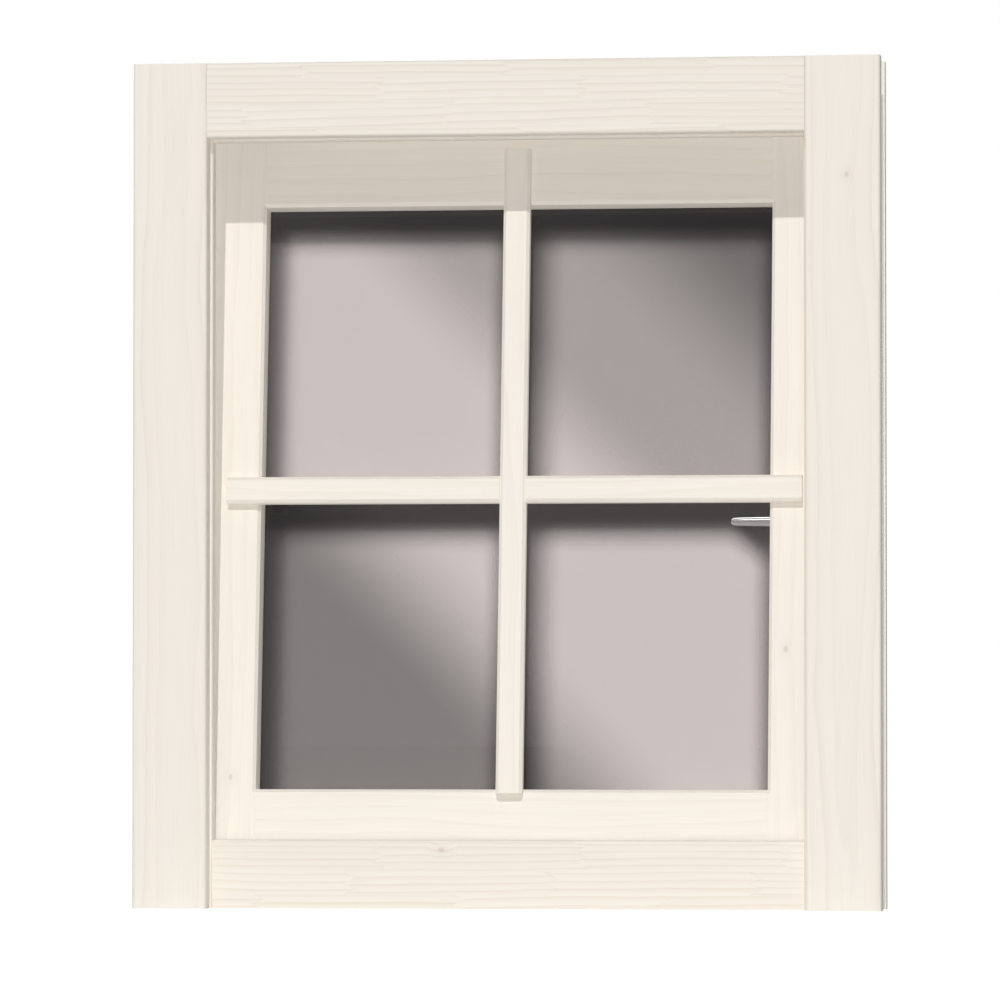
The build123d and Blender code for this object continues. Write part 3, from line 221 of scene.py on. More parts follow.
def make_knot():
    """A small round knot: a dark heart, and a halo that the grain bends round."""
    tree, given, result = new_group(
        "knot",
        [
            ("Vector", "NodeSocketVector", None),
            ("Centre", "NodeSocketVector", (0.0, 0.0, 0.0)),
            ("Size", "NodeSocketFloat", 0.006),
        ],
        [("Heart", "NodeSocketFloat"), ("Halo", "NodeSocketFloat")],
    )
    away = vector_maths(tree, "SUBTRACT", given.outputs["Vector"], given.outputs["Centre"])
    squeezed = vector_maths(tree, "MULTIPLY", away, (0.7, 1.0, 0.15))
    span = maths(tree, "DIVIDE", vector_maths(tree, "LENGTH", squeezed), given.outputs["Size"])
    tree.links.new(ramp_between(tree, span, 0.35, 1.0, 1.0, 0.0), result.inputs["Heart"])
    tree.links.new(ramp_between(tree, span, 0.6, 3.6, 1.0, 0.0), result.inputs["Halo"])
    return tree


def make_blocks():
    """Short lengths of timber, finger-jointed end to end in strips."""
    tree, given, result = new_group(
        "finger joints",
        [
            ("Vector", "NodeSocketVector", None),
            ("Strip", "NodeSocketFloat", 0.02),
            ("Length", "NodeSocketFloat", 0.22),
            ("Finger", "NodeSocketFloat", 0.005),
        ],
        [("Tone", "NodeSocketFloat"), ("Line", "NodeSocketFloat"), ("Shift", "NodeSocketVector")],
    )
    parts = node(tree, "ShaderNodeSeparateXYZ", {"Vector": given.outputs["Vector"]})
    strip = maths(tree, "FLOOR", maths(tree, "DIVIDE", parts.outputs["Y"], given.outputs["Strip"]))
    stagger = node(tree, "ShaderNodeTexWhiteNoise", {"W": strip}, noise_dimensions="1D")
    comb = maths(tree, "PINGPONG", parts.outputs["Y"], given.outputs["Finger"])
    along = maths(tree, "ADD", parts.outputs["X"], maths(tree, "MULTIPLY", comb, 2.4))
    along = maths(tree, "DIVIDE", along, given.outputs["Length"])
    along = maths(tree, "ADD", along, stagger.outputs["Value"])
    block = maths(tree, "FLOOR", along)
    within = maths(tree, "FRACT", along)
    edge = maths(tree, "MINIMUM", within, maths(tree, "SUBTRACT", 1.0, within))
    tree.links.new(ramp_between(tree, edge, 0.0, 0.004, 1.0, 0.0), result.inputs["Line"])
    key = node(tree, "ShaderNodeCombineXYZ", {"X": block, "Y": strip})
    tone = node(tree, "ShaderNodeTexWhiteNoise", {"Vector": key.outputs[0]}, noise_dimensions="3D")
    tree.links.new(tone.outputs["Value"], result.inputs["Tone"])
    tree.links.new(tone.outputs["Color"], result.inputs["Shift"])
    return tree


def make_edge():
    """Arrises: 1 where a rounded normal leaves the face's own normal. It masks the painted highlights on the
    arrises.
    """
    tree, given, result = new_group(
        "arris", [("Reach", "NodeSocketFloat", 0.002)], [("Edge", "NodeSocketFloat")],
    )
    soft = node(tree, "ShaderNodeBevel", samples=4)
    tree.links.new(given.outputs["Reach"], soft.inputs["Radius"])
    own = node(tree, "ShaderNodeNewGeometry")
    match = vector_maths(tree, "DOT_PRODUCT", soft.outputs["Normal"], own.outputs["True Normal"])
    tree.links.new(ramp_between(tree, match, 0.85, 0.995, 1.0, 0.0), result.inputs["Edge"])
    return tree


SPRUCE = make_spruce()
KNOT = make_knot()
BLOCKS = make_blocks()
ARRIS_HIGHLIGHT = make_edge()

WHITEWASH = (0.905, 0.862, 0.795)
LATE_WOOD = (0.76, 0.68, 0.58)
KNOT_BROWN = (0.42, 0.27, 0.16)


def timber(name, run, tilted=False, seed=0.0, tone=1.0, ring=0.006, pith=(0.0, 0.05, 0.09),
           contrast=0.5, wander=0.006, knots=(), jointed=False):
    """Whitewashed spruce. run is the axis that the grain follows."""
    material, tree, shader = new_material(name)
    place = node(tree, "ShaderNodeTexCoord").outputs["Object"]
    if tilted:
        turn = Matrix.Rotation(TILT, 3, "X")
        place = node(
            tree, "ShaderNodeMapping",
            {"Vector": place, "Location": PIVOT - turn @ PIVOT, "Rotation": (TILT, 0.0, 0.0)},
        ).outputs[0]
    parts = node(tree, "ShaderNodeSeparateXYZ", {"Vector": place})
    order = "XZY" if run == "X" else "ZXY"
    place = node(
        tree, "ShaderNodeCombineXYZ",
        {to: parts.outputs[source] for to, source in zip("XYZ", order)},
    ).outputs[0]
    grain_place = vector_maths(tree, "ADD", place, (seed, 0.37 * seed, 0.0))

    line = None
    if jointed:
        blocks = fill_group(tree, BLOCKS, {"Vector": grain_place, "Strip": 0.0235, "Length": 0.19})
        shift = vector_maths(tree, "MULTIPLY", blocks.outputs["Shift"], (3.0, 0.03, 0.03))
        grain_place = vector_maths(tree, "ADD", grain_place, shift)
        line = blocks.outputs["Line"]
    heart = halo = None
    for centre, size in knots:
        knot = fill_group(tree, KNOT, {"Vector": place, "Centre": centre, "Size": size})
        core, ring_round = knot.outputs["Heart"], knot.outputs["Halo"]
        heart = core if heart is None else maths(tree, "MAXIMUM", heart, core)
        halo = ring_round if halo is None else maths(tree, "MAXIMUM", halo, ring_round)
    if halo is not None:
        push = node(tree, "ShaderNodeCombineXYZ", {"Y": maths(tree, "MULTIPLY", halo, 0.5 * ring)})
        grain_place = vector_maths(tree, "ADD", grain_place, push.outputs[0])
    pith_place = (pith[0], pith[1] + 0.37 * seed, pith[2])
    spruce = fill_group(
        tree, SPRUCE,
        {"Vector": grain_place, "Ring Width": ring, "Pith": pith_place, "Wander": wander},
    )
    base = tuple(channel * tone for channel in WHITEWASH)
    late = tuple(channel * tone for channel in LATE_WOOD)
    amount = maths(tree, "MULTIPLY", spruce.outputs["Ring"], contrast)
    colour = blend(tree, amount, base, late)
    streak = ramp_between(tree, spruce.outputs["Fibre"], 0.3, 0.72, 0.0, 0.16)
    colour = blend(tree, streak, colour, late)
    patch = ramp_between(tree, spruce.outputs["Patch"], 0.25, 0.75, 0.0, 0.10)
    colour = blend(tree, patch, colour, late)
    if line is not None:
        toned = maths(tree, "MULTIPLY", blocks.outputs["Tone"], 0.10)
        colour = blend(tree, toned, colour, late)
        colour = blend(tree, maths(tree, "MULTIPLY", line, 0.13), colour, KNOT_BROWN)
    if heart is not None:
        colour = blend(tree, maths(tree, "MULTIPLY", halo, 0.18), colour, late)
        colour = blend(tree, maths(tree, "MULTIPLY", heart, 0.26), colour, KNOT_BROWN)
    # Painted highlight: the rounded arrises are lightened where they would catch the light.
    edge = fill_group(tree, ARRIS_HIGHLIGHT, {"Reach": 1.2 * MM}).outputs["Edge"]
    colour = blend(tree, maths(tree, "MULTIPLY", edge, 0.8), colour, (0.99, 0.97, 0.93))
    tree.links.new(colour, shader.inputs["Base Color"])
    rough = ramp_between(tree, spruce.outputs["Fibre"], 0.2, 0.8, 0.50, 0.66)
    tree.links.new(rough, shader.inputs["Roughness"])
    shader.inputs["Specular IOR Level"].default_value = 0.35
    height = maths(tree, "ADD", maths(tree, "MULTIPLY", spruce.outputs["Fibre"], 0.5), spruce.outputs["Ring"])
    soft = node(tree, "ShaderNodeBevel", {"Radius": 0.6 * MM}, samples=4)
    bump = node(
        tree, "ShaderNodeBump",
        {"Height": height, "Strength": 0.18, "Distance": 0.25 * MM, "Normal": soft.outputs["Normal"]},
    )
    tree.links.new(bump.outputs["Normal"], shader.inputs["Normal"])
    return material


def metal(name, colour, roughness, grain=0.0, spots=0.0, metallic=1.0):
    """Plated or polished metal, with fine drawn lines and faint clouding."""
    material, tree, shader = new_material(name)
    place = node(tree, "ShaderNodeTexCoord").outputs["Object"]
    cloud = node(tree, "ShaderNodeTexNoise", {"Vector": place, "Scale": 85.0, "Detail": 4.0})
    drawn = vector_maths(tree, "MULTIPLY", place, (60.0, 1500.0, 1500.0))
    lines = node(
        tree, "ShaderNodeTexNoise",
        {"Vector": drawn, "Scale": 1.0, "Detail": 2.0},
    )
    darker = tuple(channel * 0.72 for channel in colour)
    tone = ramp_between(tree, cloud.outputs["Fac"], 0.35, 0.7, 0.0, spots)
    shade = blend(tree, tone, colour, darker)
    # Painted highlight along the metal's edges.
    edge = fill_group(tree, ARRIS_HIGHLIGHT, {"Reach": 0.5 * MM}).outputs["Edge"]
    shade = blend(tree, maths(tree, "MULTIPLY", edge, 0.5), shade, tuple(min(1.0, 1.25 * c) for c in colour))
    tree.links.new(shade, shader.inputs["Base Color"])
    shader.inputs["Metallic"].default_value = metallic
    rough = maths(tree, "ADD", roughness, maths(tree, "MULTIPLY", lines.outputs["Fac"], grain))
    tree.links.new(rough, shader.inputs["Roughness"])
    bump = node(
        tree, "ShaderNodeBump",
        {"Height": lines.outputs["Fac"], "Strength": 0.25 * min(1.0, 4 * grain), "Distance": 0.05 * MM},
    )
    tree.links.new(bump.outputs["Normal"], shader.inputs["Normal"])
    return material


def moulded(name, colour, roughness, speckle=0.04, coarse=900.0):
    """Rubber, plastic or tape with a fine moulded surface."""
    material, tree, shader = new_material(name)
    place = node(tree, "ShaderNodeTexCoord").outputs["Object"]
    fine = node(tree, "ShaderNodeTexNoise", {"Vector": place, "Scale": coarse, "Detail": 3.0})
    broad = node(tree, "ShaderNodeTexNoise", {"Vector": place, "Scale": 30.0, "Detail": 2.0})
    lighter = tuple(min(1.0, channel + speckle + 0.25 * channel) for channel in colour)
    tone = ramp_between(tree, broad.outputs["Fac"], 0.3, 0.75, 0.0, 0.5)
    tree.links.new(blend(tree, tone, colour, lighter), shader.inputs["Base Color"])
    tree.links.new(
        ramp_between(tree, fine.outputs["Fac"], 0.3, 0.7, roughness - 0.06, roughness + 0.06),
        shader.inputs["Roughness"],
    )
    bump = node(
        tree, "ShaderNodeBump",
        {"Height": fine.outputs["Fac"], "Strength": 0.3, "Distance": 0.08 * MM},
    )
    tree.links.new(bump.outputs["Normal"], shader.inputs["Normal"])
    return material


# ---- Glass ------------------------------------------------------------------------------
bar_high = closed_box("bar_vertical")[1]
cross_low, cross_high = closed_box("bar_horizontal")
bead_high = closed_box("bead_top")[0].z
sight = -closed_box("bead_left")[1].x
# Brightness of the painted reflection, and how far along the pane's diagonal each fade runs.
PAINTED_REFLECTION_PALE = 0.58
PAINTED_REFLECTION_MIDDLE = 0.36
PAINTED_REFLECTION_DIM = 0.15
PAINTED_REFLECTION_DARK = 0.20
UPPER_FADE = (0.05, 0.18)
UPPER_DIMMING = (0.26, 0.45)
LOWER_FADE = (0.10, 0.28)
# Painted shade that the frame, the bars and the handle throw on the glass.
SHADE_DEEP = 0.009
SHADE_DEEPER_ABOVE = 0.004
SHADE_FADE = 0.036
SHADE_LEFT = (-0.010, 0.034)
SHADE_RIGHT = (-0.008, 0.022)
SHADE_LEAST = 0.10
HANDLE_SHADE_X = (0.196, 0.236)
HANDLE_SHADE_DEEP = 0.020
# Painted shade along the glass's left and top edges: its near-black, its span and how much it covers.
PAINTED_SHADE_BLACK = (0.020, 0.018, 0.019)
PAINTED_SHADE_SPAN = (3.0 * MM, 24.0 * MM)
PAINTED_SHADE_COVER = 0.97


def glass(name, painted_reflection_strength, tint):
    """Float glass with a painted pale reflection across it. The reflection clears in painted shade from the
    frame, the bars and the handle, and painted shade darkens the glass's left and top edges.
    """
    material, tree, shader = new_material(name)
    place = node(tree, "ShaderNodeTexCoord").outputs["Object"]
    turn = Matrix.Rotation(TILT, 3, "X")
    place = node(
        tree, "ShaderNodeMapping",
        {"Vector": place, "Location": PIVOT - turn @ PIVOT, "Rotation": (TILT, 0.0, 0.0)},
    ).outputs[0]
    parts = node(tree, "ShaderNodeSeparateXYZ", {"Vector": place})
    x, z = parts.outputs["X"], parts.outputs["Z"]
    middle = (cross_low.z + cross_high.z) / 2
    upper = maths(tree, "GREATER_THAN", z, middle)
    diagonal = maths(tree, "ADD", x, maths(tree, "SUBTRACT", z, middle))
    fade = ramp_between(tree, diagonal, *UPPER_FADE, PAINTED_REFLECTION_PALE, PAINTED_REFLECTION_MIDDLE)
    dimming = ramp_between(tree, diagonal, *UPPER_DIMMING, 0.0, PAINTED_REFLECTION_MIDDLE - PAINTED_REFLECTION_DIM)
    above = maths(tree, "SUBTRACT", fade, dimming)
    falling = maths(tree, "MULTIPLY", diagonal, -1.0)
    below = ramp_between(tree, falling, *LOWER_FADE, PAINTED_REFLECTION_PALE, PAINTED_REFLECTION_DARK)
    reflected = maths(
        tree, "ADD", maths(tree, "MULTIPLY", above, upper),
        maths(tree, "MULTIPLY", below, maths(tree, "SUBTRACT", 1.0, upper)),
    )

    half = bar_high.x
    right_side = maths(tree, "GREATER_THAN", x, 0.0)
    left_edge = maths(tree, "SUBTRACT", maths(tree, "MULTIPLY", right_side, sight + half), sight)
    top_edge = maths(
        tree, "ADD", cross_low.z, maths(tree, "MULTIPLY", upper, bead_high - cross_low.z),
    )
    from_left = maths(tree, "SUBTRACT", x, left_edge)
    from_right = maths(tree, "SUBTRACT", maths(tree, "ADD", left_edge, sight - half), x)
    from_top = maths(tree, "SUBTRACT", top_edge, z)
    deep = maths(tree, "ADD", SHADE_DEEP, maths(tree, "MULTIPLY", upper, SHADE_DEEPER_ABOVE))
    # Painted shade of the handle on the glass below it.
    corner = ramp_between(tree, x, *HANDLE_SHADE_X, 0.0, HANDLE_SHADE_DEEP)
    corner = maths(tree, "MULTIPLY", corner, maths(tree, "SUBTRACT", 1.0, upper))
    deep = maths(tree, "ADD", deep, corner)
    shade_top = ramp_between(tree, from_top, deep, maths(tree, "ADD", deep, SHADE_FADE))
    shade_left = ramp_between(tree, from_left, *SHADE_LEFT)
    shade_right = ramp_between(tree, from_right, *SHADE_RIGHT)
    # Painted shade: the reflection is dimmed where the frame, the bars and the handle shade the glass.
    clear = maths(tree, "MULTIPLY", maths(tree, "MULTIPLY", shade_top, shade_left), shade_right)
    clear = maths(tree, "ADD", SHADE_LEAST, maths(tree, "MULTIPLY", clear, 1.0 - SHADE_LEAST))
    level = maths(tree, "MULTIPLY", reflected, clear)
    level = maths(tree, "MULTIPLY", level, painted_reflection_strength)
    # Both faces of the pane carry the painted reflection, so each takes its share.
    share = maths(tree, "SUBTRACT", 1.0, maths(tree, "SQRT", maths(tree, "SUBTRACT", 1.0, level, clamp=True)))
    # Painted shade: a near-black layer darkens the pane's left and top edges and fades inwards.
    outer = maths(tree, "MINIMUM", maths(tree, "ADD", x, sight), maths(tree, "SUBTRACT", bead_high, z))
    edge_shade = ramp_between(tree, outer, *PAINTED_SHADE_SPAN, PAINTED_SHADE_COVER, 0.0)
    shade_layer = maths(tree, "MULTIPLY", maths(tree, "SUBTRACT", 1.0, share), edge_shade)
    cover = maths(tree, "ADD", share, shade_layer)
    tree.links.new(cover, shader.inputs["Alpha"])
    # The painted reflection's share of the colour; the rest is the painted shade's near-black.
    painted_reflection = maths(tree, "DIVIDE", share, maths(tree, "MAXIMUM", cover, 0.001))
    tree.links.new(blend(tree, painted_reflection, PAINTED_SHADE_BLACK, tint), shader.inputs["Base Color"])
    shader.inputs["Roughness"].default_value = 0.04
    shader.inputs["IOR"].default_value = 1.5
    material.surface_render_method = "BLENDED"
    return material


# ---- New pieces ---------------------------------------------------------------------------
def piece(name, mesh_builder, material, body, *replaced):
    """A finished piece: its mesh, its material and the body that it rides on."""
    bm = bmesh.new()
    mesh_builder(bm)
    mesh = bpy.data.meshes.new(name)
    bmesh.ops.recalc_face_normals(bm, faces=bm.faces)
    bm.to_mesh(mesh)
    bm.free()
    for face in mesh.polygons:
        face.use_smooth = True
    mesh.materials.append(material)
    made = bpy.data.objects.new(name, mesh)
    bpy.context.scene.collection.objects.link(made)
    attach(made, body)
    if replaced:
        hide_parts(*replaced)
    return made


def smooth(made, levels=2):
    """A Subdivision Surface with the same levels in the view and the render."""
    modifier = made.modifiers.new("smooth", "SUBSURF")
    modifier.levels = levels
    modifier.render_levels = levels


HANDLE = CLOSE @ Vector(joints["handle_turn"]["pos_m"])
lever_low, lever_high = closed_box("handle_lever")
cap_low, cap_high = closed_box("rosette_cap")


def lever_mesh(bm):
    """The handle: a round neck that bends into a flat tapered grip."""
    segments = 16
    neck = 6.9 * MM
    shank = 6.2 * MM
    grip_depth = 4.8 * MM
    grip_high = 4.8 * MM
    bend = 10.0 * MM
    reach_y = lever_high.y - grip_depth
    length = HANDLE.x - lever_low.x

    def station(centre, heading, half_wide, half_thick):
        """A section frame: heading is its turn from the neck's way to the grip's way."""
        turn = Matrix.Rotation(heading, 4, "Z")
        size = Matrix.Diagonal((half_thick, 1.0, half_wide, 1.0))
        return Matrix.Translation(centre) @ turn @ size

    stations = [station(Vector((HANDLE.x, cap_low.y, HANDLE.z)), 0.0, neck, neck)]
    stations.append(station(Vector((HANDLE.x, cap_high.y + 1.0 * MM, HANDLE.z)), 0.0, neck, neck))
    stations.append(station(Vector((HANDLE.x, cap_high.y + 2.5 * MM, HANDLE.z)), 0.0, shank, shank))
    steps = 6
    for step in range(steps + 1):
        share = step / steps
        angle = share * pi / 2
        centre = Vector((
            HANDLE.x - bend * (1 - cos(angle)), reach_y - bend * (1 - sin(angle)), HANDLE.z,
        ))
        thick = (1 - share) * shank + share * grip_depth
        wide = (1 - share) * shank + share * grip_high
        stations.append(station(centre, angle, wide, thick))
    for share, wide, thick in (
        (0.30, 4.7, 4.6), (0.55, 4.4, 4.3), (0.80, 4.0, 3.9),
        (0.93, 3.9, 3.6), (0.975, 3.1, 2.9), (0.995, 1.8, 1.6),
    ):
        centre = Vector((HANDLE.x - share * length, reach_y, HANDLE.z))
        stations.append(station(centre, pi / 2, wide * MM, thick * MM))

    ring = bmesh.ops.create_circle(
        bm, segments=segments, radius=1.0, matrix=stations[0] @ Matrix.Rotation(pi / 2, 4, "X"),
    )["verts"]
    edges = list({edge for vertex in ring for edge in vertex.link_edges})
    bmesh.ops.contextual_create(bm, geom=edges)
    for before, after in zip(stations, stations[1:]):
        grown = bmesh.ops.extrude_edge_only(bm, edges=edges)["geom"]
        ring = [item for item in grown if isinstance(item, bmesh.types.BMVert)]
        edges = [item for item in grown if isinstance(item, bmesh.types.BMEdge)]
        bmesh.ops.transform(bm, matrix=after @ before.inverted(), verts=ring)
    bmesh.ops.contextual_create(bm, geom=edges)
    bmesh.ops.transform(bm, matrix=OPEN, verts=bm.verts)


def cover_mesh(bm):
    """The rosette's cover: a crowned oval cap with a round hole for the neck."""
    segments = 48
    half_wide = (cap_high.x - cap_low.x) / 2
    straight = (cap_high.z - cap_low.z) / 2 - half_wide
    centre = Vector((HANDLE.x, 0.0, HANDLE.z))
    upright = Matrix.Rotation(pi / 2, 4, "X")
    hole = 7.2 * MM
    profile = (
        (half_wide, cap_low.y), (half_wide, cap_low.y + 1.2 * MM),
        (half_wide - 0.5 * MM, cap_high.y - 0.6 * MM), (half_wide - 1.8 * MM, cap_high.y),
    )
    loops = []
    for radius, depth in profile:
        circle = bmesh.ops.create_circle(bm, segments=segments, radius=radius, matrix=upright)["verts"]
        for vertex in circle:
            lift = straight if vertex.co.z > 0 else -straight
            vertex.co += centre + Vector((0.0, depth, lift))
        loops.append(list({edge for vertex in circle for edge in vertex.link_edges}))
    for depth in (cap_high.y, cap_low.y):
        circle = bmesh.ops.create_circle(
            bm, segments=segments, radius=hole,
            matrix=Matrix.Translation(centre + Vector((0, depth, 0))) @ upright,
        )["verts"]
        loops.append(list({edge for vertex in circle for edge in vertex.link_edges}))
    loops.append(loops[0])
    for before, after in zip(loops, loops[1:]):
        bmesh.ops.bridge_loops(bm, edges=before + after)
    bmesh.ops.transform(bm, matrix=OPEN, verts=bm.verts)


seal_low, seal_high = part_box("frame_seal")


def gasket_mesh(bm):
    """The frame seal: a hollow bulb on a flat foot, mitred at the corners."""
    centre = (seal_low + seal_high) / 2
    reach = seal_high - centre
    thick = seal_high.y - seal_low.y
    corner = Vector((reach.x, seal_low.y - centre.y, reach.z))
    bulb = bmesh.ops.create_circle(bm, segments=14, radius=1.0)["verts"]
    for vertex in bulb:
        angle_x, angle_y = vertex.co.x, vertex.co.y
        inward = (3.0 + 2.9 * angle_x) * MM
        depth = thick * (0.5 + 0.49 * angle_y) if angle_y > 0 else thick * 0.5 * (1 + angle_y)
        vertex.co = corner + Vector((-inward, depth, -inward))
    edges = list({edge for vertex in bulb for edge in vertex.link_edges})
    for flip in ((-1, 1, 1), (1, 1, -1), (-1, 1, 1), (1, 1, -1)):
        grown = bmesh.ops.extrude_edge_only(bm, edges=edges)["geom"]
        ring = [item for item in grown if isinstance(item, bmesh.types.BMVert)]
        edges = [item for item in grown if isinstance(item, bmesh.types.BMEdge)]
        bmesh.ops.scale(bm, vec=flip, verts=ring)
    bmesh.ops.remove_doubles(bm, verts=bm.verts, dist=0.01 * MM)
    bmesh.ops.translate(bm, vec=centre, verts=bm.verts)


# ---- Finishes ------------------------------------------------------------------------------
casing_seeds = {
    "casing_left": (0.31, 0.30), "casing_right": (1.17, 0.30), "inner_casing_left": (2.4, 0.3),
    "inner_casing_right": (3.3, 0.3),
}
for name, (seed, contrast) in casing_seeds.items():
    low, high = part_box(name)
    middle_x = (low.x + high.x) / 2
    spots = ()
    if name == "casing_right":
        spots = (((low.z + 0.86 * (high.z - low.z), middle_x + 4 * MM, low.y), 2.6 * MM),)
    wear(
        timber(
            name + " spruce", "Z", seed=seed, contrast=contrast, ring=0.0075,
            pith=(0.0, middle_x + 0.004, low.y + 0.035), wander=0.010, knots=spots,
        ),
        name,
    )
for name, seed in (("casing_top", 0.7), ("inner_casing_top", 4.1), ("sill", 5.3), ("head", 6.2)):
    low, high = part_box(name)
    spots = ()
    if name == "sill":
        spots = (((low.x + 0.40 * (high.x - low.x), low.z + 0.86 * (high.z - low.z), low.y), 3.2 * MM),)
    wear(
        timber(
            name + " spruce", "X", seed=seed, contrast=0.62, ring=0.0062, tone=1.005,
            pith=(0.0, low.z - 0.05, low.y + 0.06), wander=0.005, knots=spots, jointed=True,
        ),
        name,
    )
for name, seed in (("jamb_left", 7.1), ("jamb_right", 7.9)):
    low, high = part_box(name)
    wear(timber(name + " spruce", "Z", seed=seed, contrast=0.4, pith=(0.0, low.x - 0.03, low.y + 0.05)), name)

for name, run, seed in (
    ("sash_stile_left", "Z", 1.9), ("sash_stile_right", "Z", 2.7), ("sash_rail_top", "X", 3.6),
    ("sash_rail_bottom", "X", 4.6), ("bar_vertical", "Z", 8.3), ("bar_horizontal", "X", 8.8),
    ("bead_left", "Z", 9.1), ("bead_right", "Z", 9.5), ("bead_top", "X", 9.9), ("bead_bottom", "X", 10.3),
):
    low, high = closed_box(name)
    spots = ()
    if name == "sash_stile_right":
        spots = (((low.z + 0.275 * (high.z - low.z), low.x + 0.30 * (high.x - low.x), low.y), 3.2 * MM),)
    if name == "sash_stile_left":
        spots = (((low.z + 0.10 * (high.z - low.z), low.x + 0.55 * (high.x - low.x), low.y), 2.8 * MM),)
    across = low.x if run == "Z" else low.z
    wear(
        timber(
            name + " spruce", run, tilted=True, seed=seed, contrast=0.22, ring=0.0085, tone=1.03,
            pith=(0.0, across - 0.02, low.y + 0.06), wander=0.007, knots=spots,
        ),
        name,
    )

# The outer pane carries the painted reflection and the painted shade; the inner pane carries a faint painted
# reflection.
wear(glass("hazed glass", 1.15, (0.86, 0.79, 0.785)), "glass_outer")
wear(glass("inner glass", 0.10, (0.80, 0.82, 0.82)), "glass_inner")

zinc = metal("zinc plate", (0.62, 0.62, 0.60), 0.28, grain=0.18, spots=0.5)
steel = metal("bright steel", (0.58, 0.57, 0.55), 0.22, grain=0.12, spots=0.2)
chrome = metal("polished chrome", (0.80, 0.80, 0.81), 0.16, grain=0.02, spots=0.05)
black_rubber = moulded("seal rubber", (0.025, 0.025, 0.026), 0.62)
butyl = moulded("butyl seal", (0.018, 0.018, 0.018), 0.75)
black_tape = moulded("glazing tape", (0.03, 0.03, 0.031), 0.8)
dark_spacer = moulded("warm edge spacer", (0.022, 0.022, 0.024), 0.5)
white_plastic = moulded("white plastic", (0.74, 0.73, 0.70), 0.42)

wear(
    zinc, "corner_bearing", "stay_bearing", "keeps", "tilt_keep", "corner_pivot", "stay_arm",
    "sash_hinge", "tilt_pin", "stay_guide", "faceplate", "gearbox", "drive_rod",
)
wear(
    steel, "casing_screws", "inner_casing_screws", "frame_screws", "bearing_screws", "keep_screws",
    "corner_bearing_pin", "stay_bearing_pin", "stay_pin", "bar_screws", "hardware_screws",
    "faceplate_screws", "rosette_screws", "bead_brads", "lock_cams", "follower", "spindle",
)
wear(chrome, "handle_lever", "rosette_cap")
wear(dark_spacer, "glass_spacer")
wear(black_rubber, "frame_seal")
wear(butyl, "glass_edge_seal")
wear(black_tape, "glazing_tape")
wear(white_plastic, "setting_blocks", "rosette")

grip = piece("handle_grip", lever_mesh, chrome, "handle", "handle_lever")
smooth(grip)
cover = piece("rosette_cover", cover_mesh, chrome, "sash", "rosette_cap")
gasket = piece("frame_gasket", gasket_mesh, black_rubber, "frame", "frame_seal")

# ---- Floor, light and camera ------------------------------------------------------------------
scene = bpy.context.scene
scene.view_settings.view_transform = "Standard"
scene.view_settings.look = "None"


def dim_room(tree):
    """1 for what the camera sees through the glass, which is an unlit room."""
    path = node(tree, "ShaderNodeLightPath")
    through = maths(tree, "GREATER_THAN", path.outputs["Transparent Depth"], 0.5)
    return maths(tree, "MULTIPLY", through, path.outputs["Is Camera Ray"]), path


ROOM_DARK = (0.016, 0.015, 0.015)
FLOOR_GLOW = 0.70
FILL = 0.36

floor_mesh = bpy.data.meshes.new("floor")
floor_bm = bmesh.new()
bmesh.ops.create_grid(floor_bm, x_segments=1, y_segments=1, size=30.0)
floor_bm.to_mesh(floor_mesh)
floor_bm.free()
floor = bpy.data.objects.new("floor", floor_mesh)
scene.collection.objects.link(floor)
floor_paint, tree, shader = new_material("pale floor")
through, path = dim_room(tree)
tree.links.new(blend(tree, through, (0.93, 0.93, 0.93), ROOM_DARK), shader.inputs["Base Color"])
shader.inputs["Roughness"].default_value = 0.9
shader.inputs["Specular IOR Level"].default_value = 0.0
shader.inputs["Emission Color"].default_value = (1.0, 1.0, 1.0, 1.0)
seen = maths(tree, "MULTIPLY", path.outputs["Is Camera Ray"], maths(tree, "SUBTRACT", 1.0, through))
tree.links.new(maths(tree, "MULTIPLY", seen, FLOOR_GLOW), shader.inputs["Emission Strength"])
floor_mesh.materials.append(floor_paint)

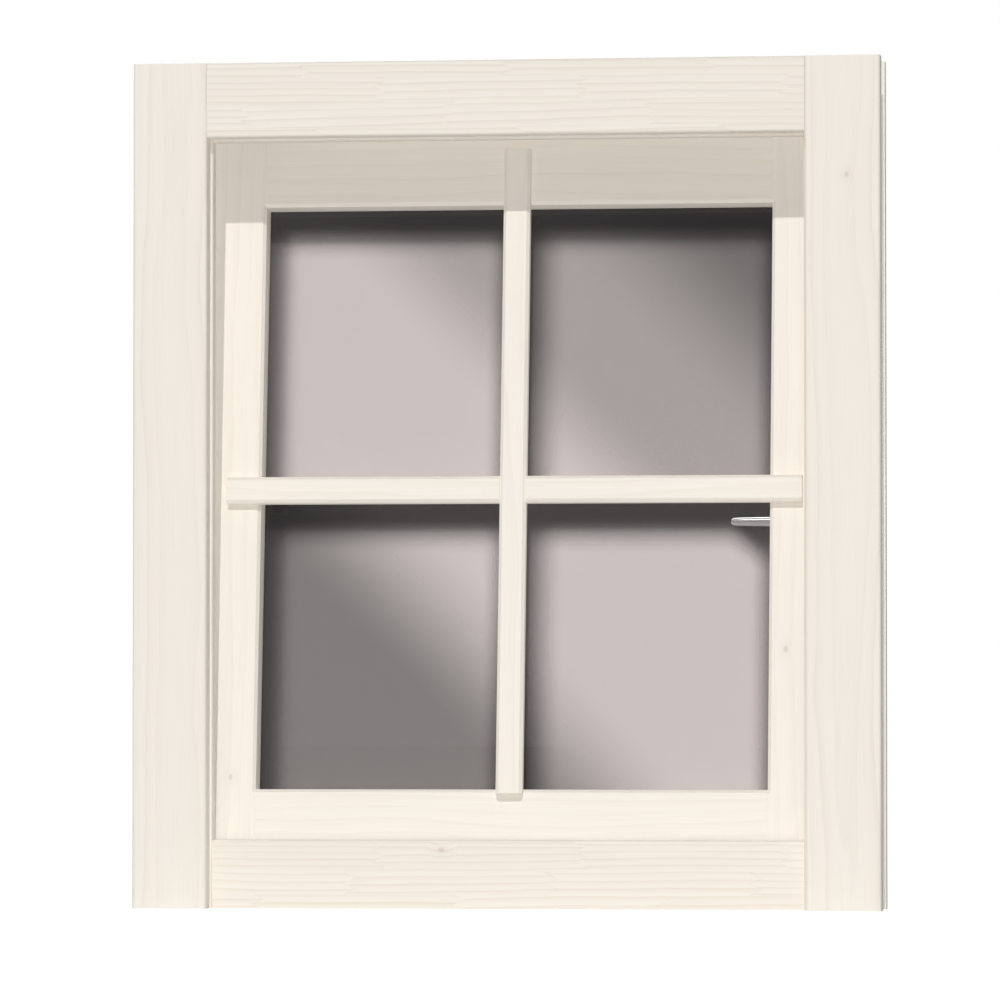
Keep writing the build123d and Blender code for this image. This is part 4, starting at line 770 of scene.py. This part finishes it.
world = bpy.data.worlds.new("studio")
scene.world = world
world.use_nodes = True
tree = world.node_tree
background = tree.nodes["Background"]
through, path = dim_room(tree)
tree.links.new(blend(tree, through, (1.0, 1.0, 1.0), ROOM_DARK), background.inputs["Color"])
strength = maths(
    tree, "ADD", FILL, maths(tree, "MULTIPLY", path.outputs["Is Camera Ray"], 1.0 - FILL),
)
tree.links.new(strength, background.inputs["Strength"])


def receivers(name, *objects, state="EXCLUDE"):
    """A collection that keeps a lamp off its objects, or on them alone."""
    collection = bpy.data.collections.new(name)
    for item in objects:
        collection.objects.link(item)
    for member in collection.collection_objects:
        member.light_linking.link_state = state
    return collection


floor_unlit = receivers("floor unlit", floor)
grip_unlit = receivers("floor and grip unlit", floor, grip)
grip_lit = receivers("grip lit", grip, state="INCLUDE")


def sun(name, power, width, up, left, lit, colour=(1.0, 1.0, 1.0), shadow=True):
    """A distant lamp. up and left turn it from straight ahead of the window."""
    data = bpy.data.lights.new(name, "SUN")
    data.energy = power
    data.angle = width
    data.color = colour
    data.use_shadow = shadow
    data.cycles.cast_shadow = shadow
    lamp = bpy.data.objects.new(name, data)
    towards = Vector((-sin(left) * cos(up), -cos(left) * cos(up), sin(up)))
    lamp.rotation_euler = towards.to_track_quat("Z", "Y").to_euler()
    lamp.light_linking.receiver_collection = lit
    scene.collection.objects.link(lamp)


sun("studio key", 1.26, radians(0.9), radians(35.2), radians(-2.0), floor_unlit, (1.0, 0.99, 0.97))
sun("right fill", 0.38, radians(20.0), radians(-25.0), radians(-35.0), grip_unlit, shadow=False)
sun("left fill", 0.46, radians(20.0), radians(-20.0), radians(35.0), grip_unlit, shadow=False)
sun("front fill", 0.43, radians(20.0), radians(-20.0), 0.0, grip_unlit, shadow=False)
sun("back fill", 1.20, radians(40.0), radians(30.0), radians(170.0), floor_unlit)
sun("grip light", 1.60, radians(12.0), radians(62.0), radians(-4.0), grip_lit, shadow=False)

EYE = (0.770, -6.0, 0.181)
EYE_LEFT = radians(7.398)
EYE_UP = radians(1.896)
LENS = 233.2
camera_data = bpy.data.cameras.new("camera")
camera_data.sensor_width = 36.0
camera_data.lens = LENS
camera_data.clip_end = 100.0
camera = bpy.data.objects.new("camera", camera_data)
camera.location = EYE
camera.rotation_euler = (pi / 2 + EYE_UP, 0.0, EYE_LEFT)
scene.collection.objects.link(camera)
scene.camera = camera
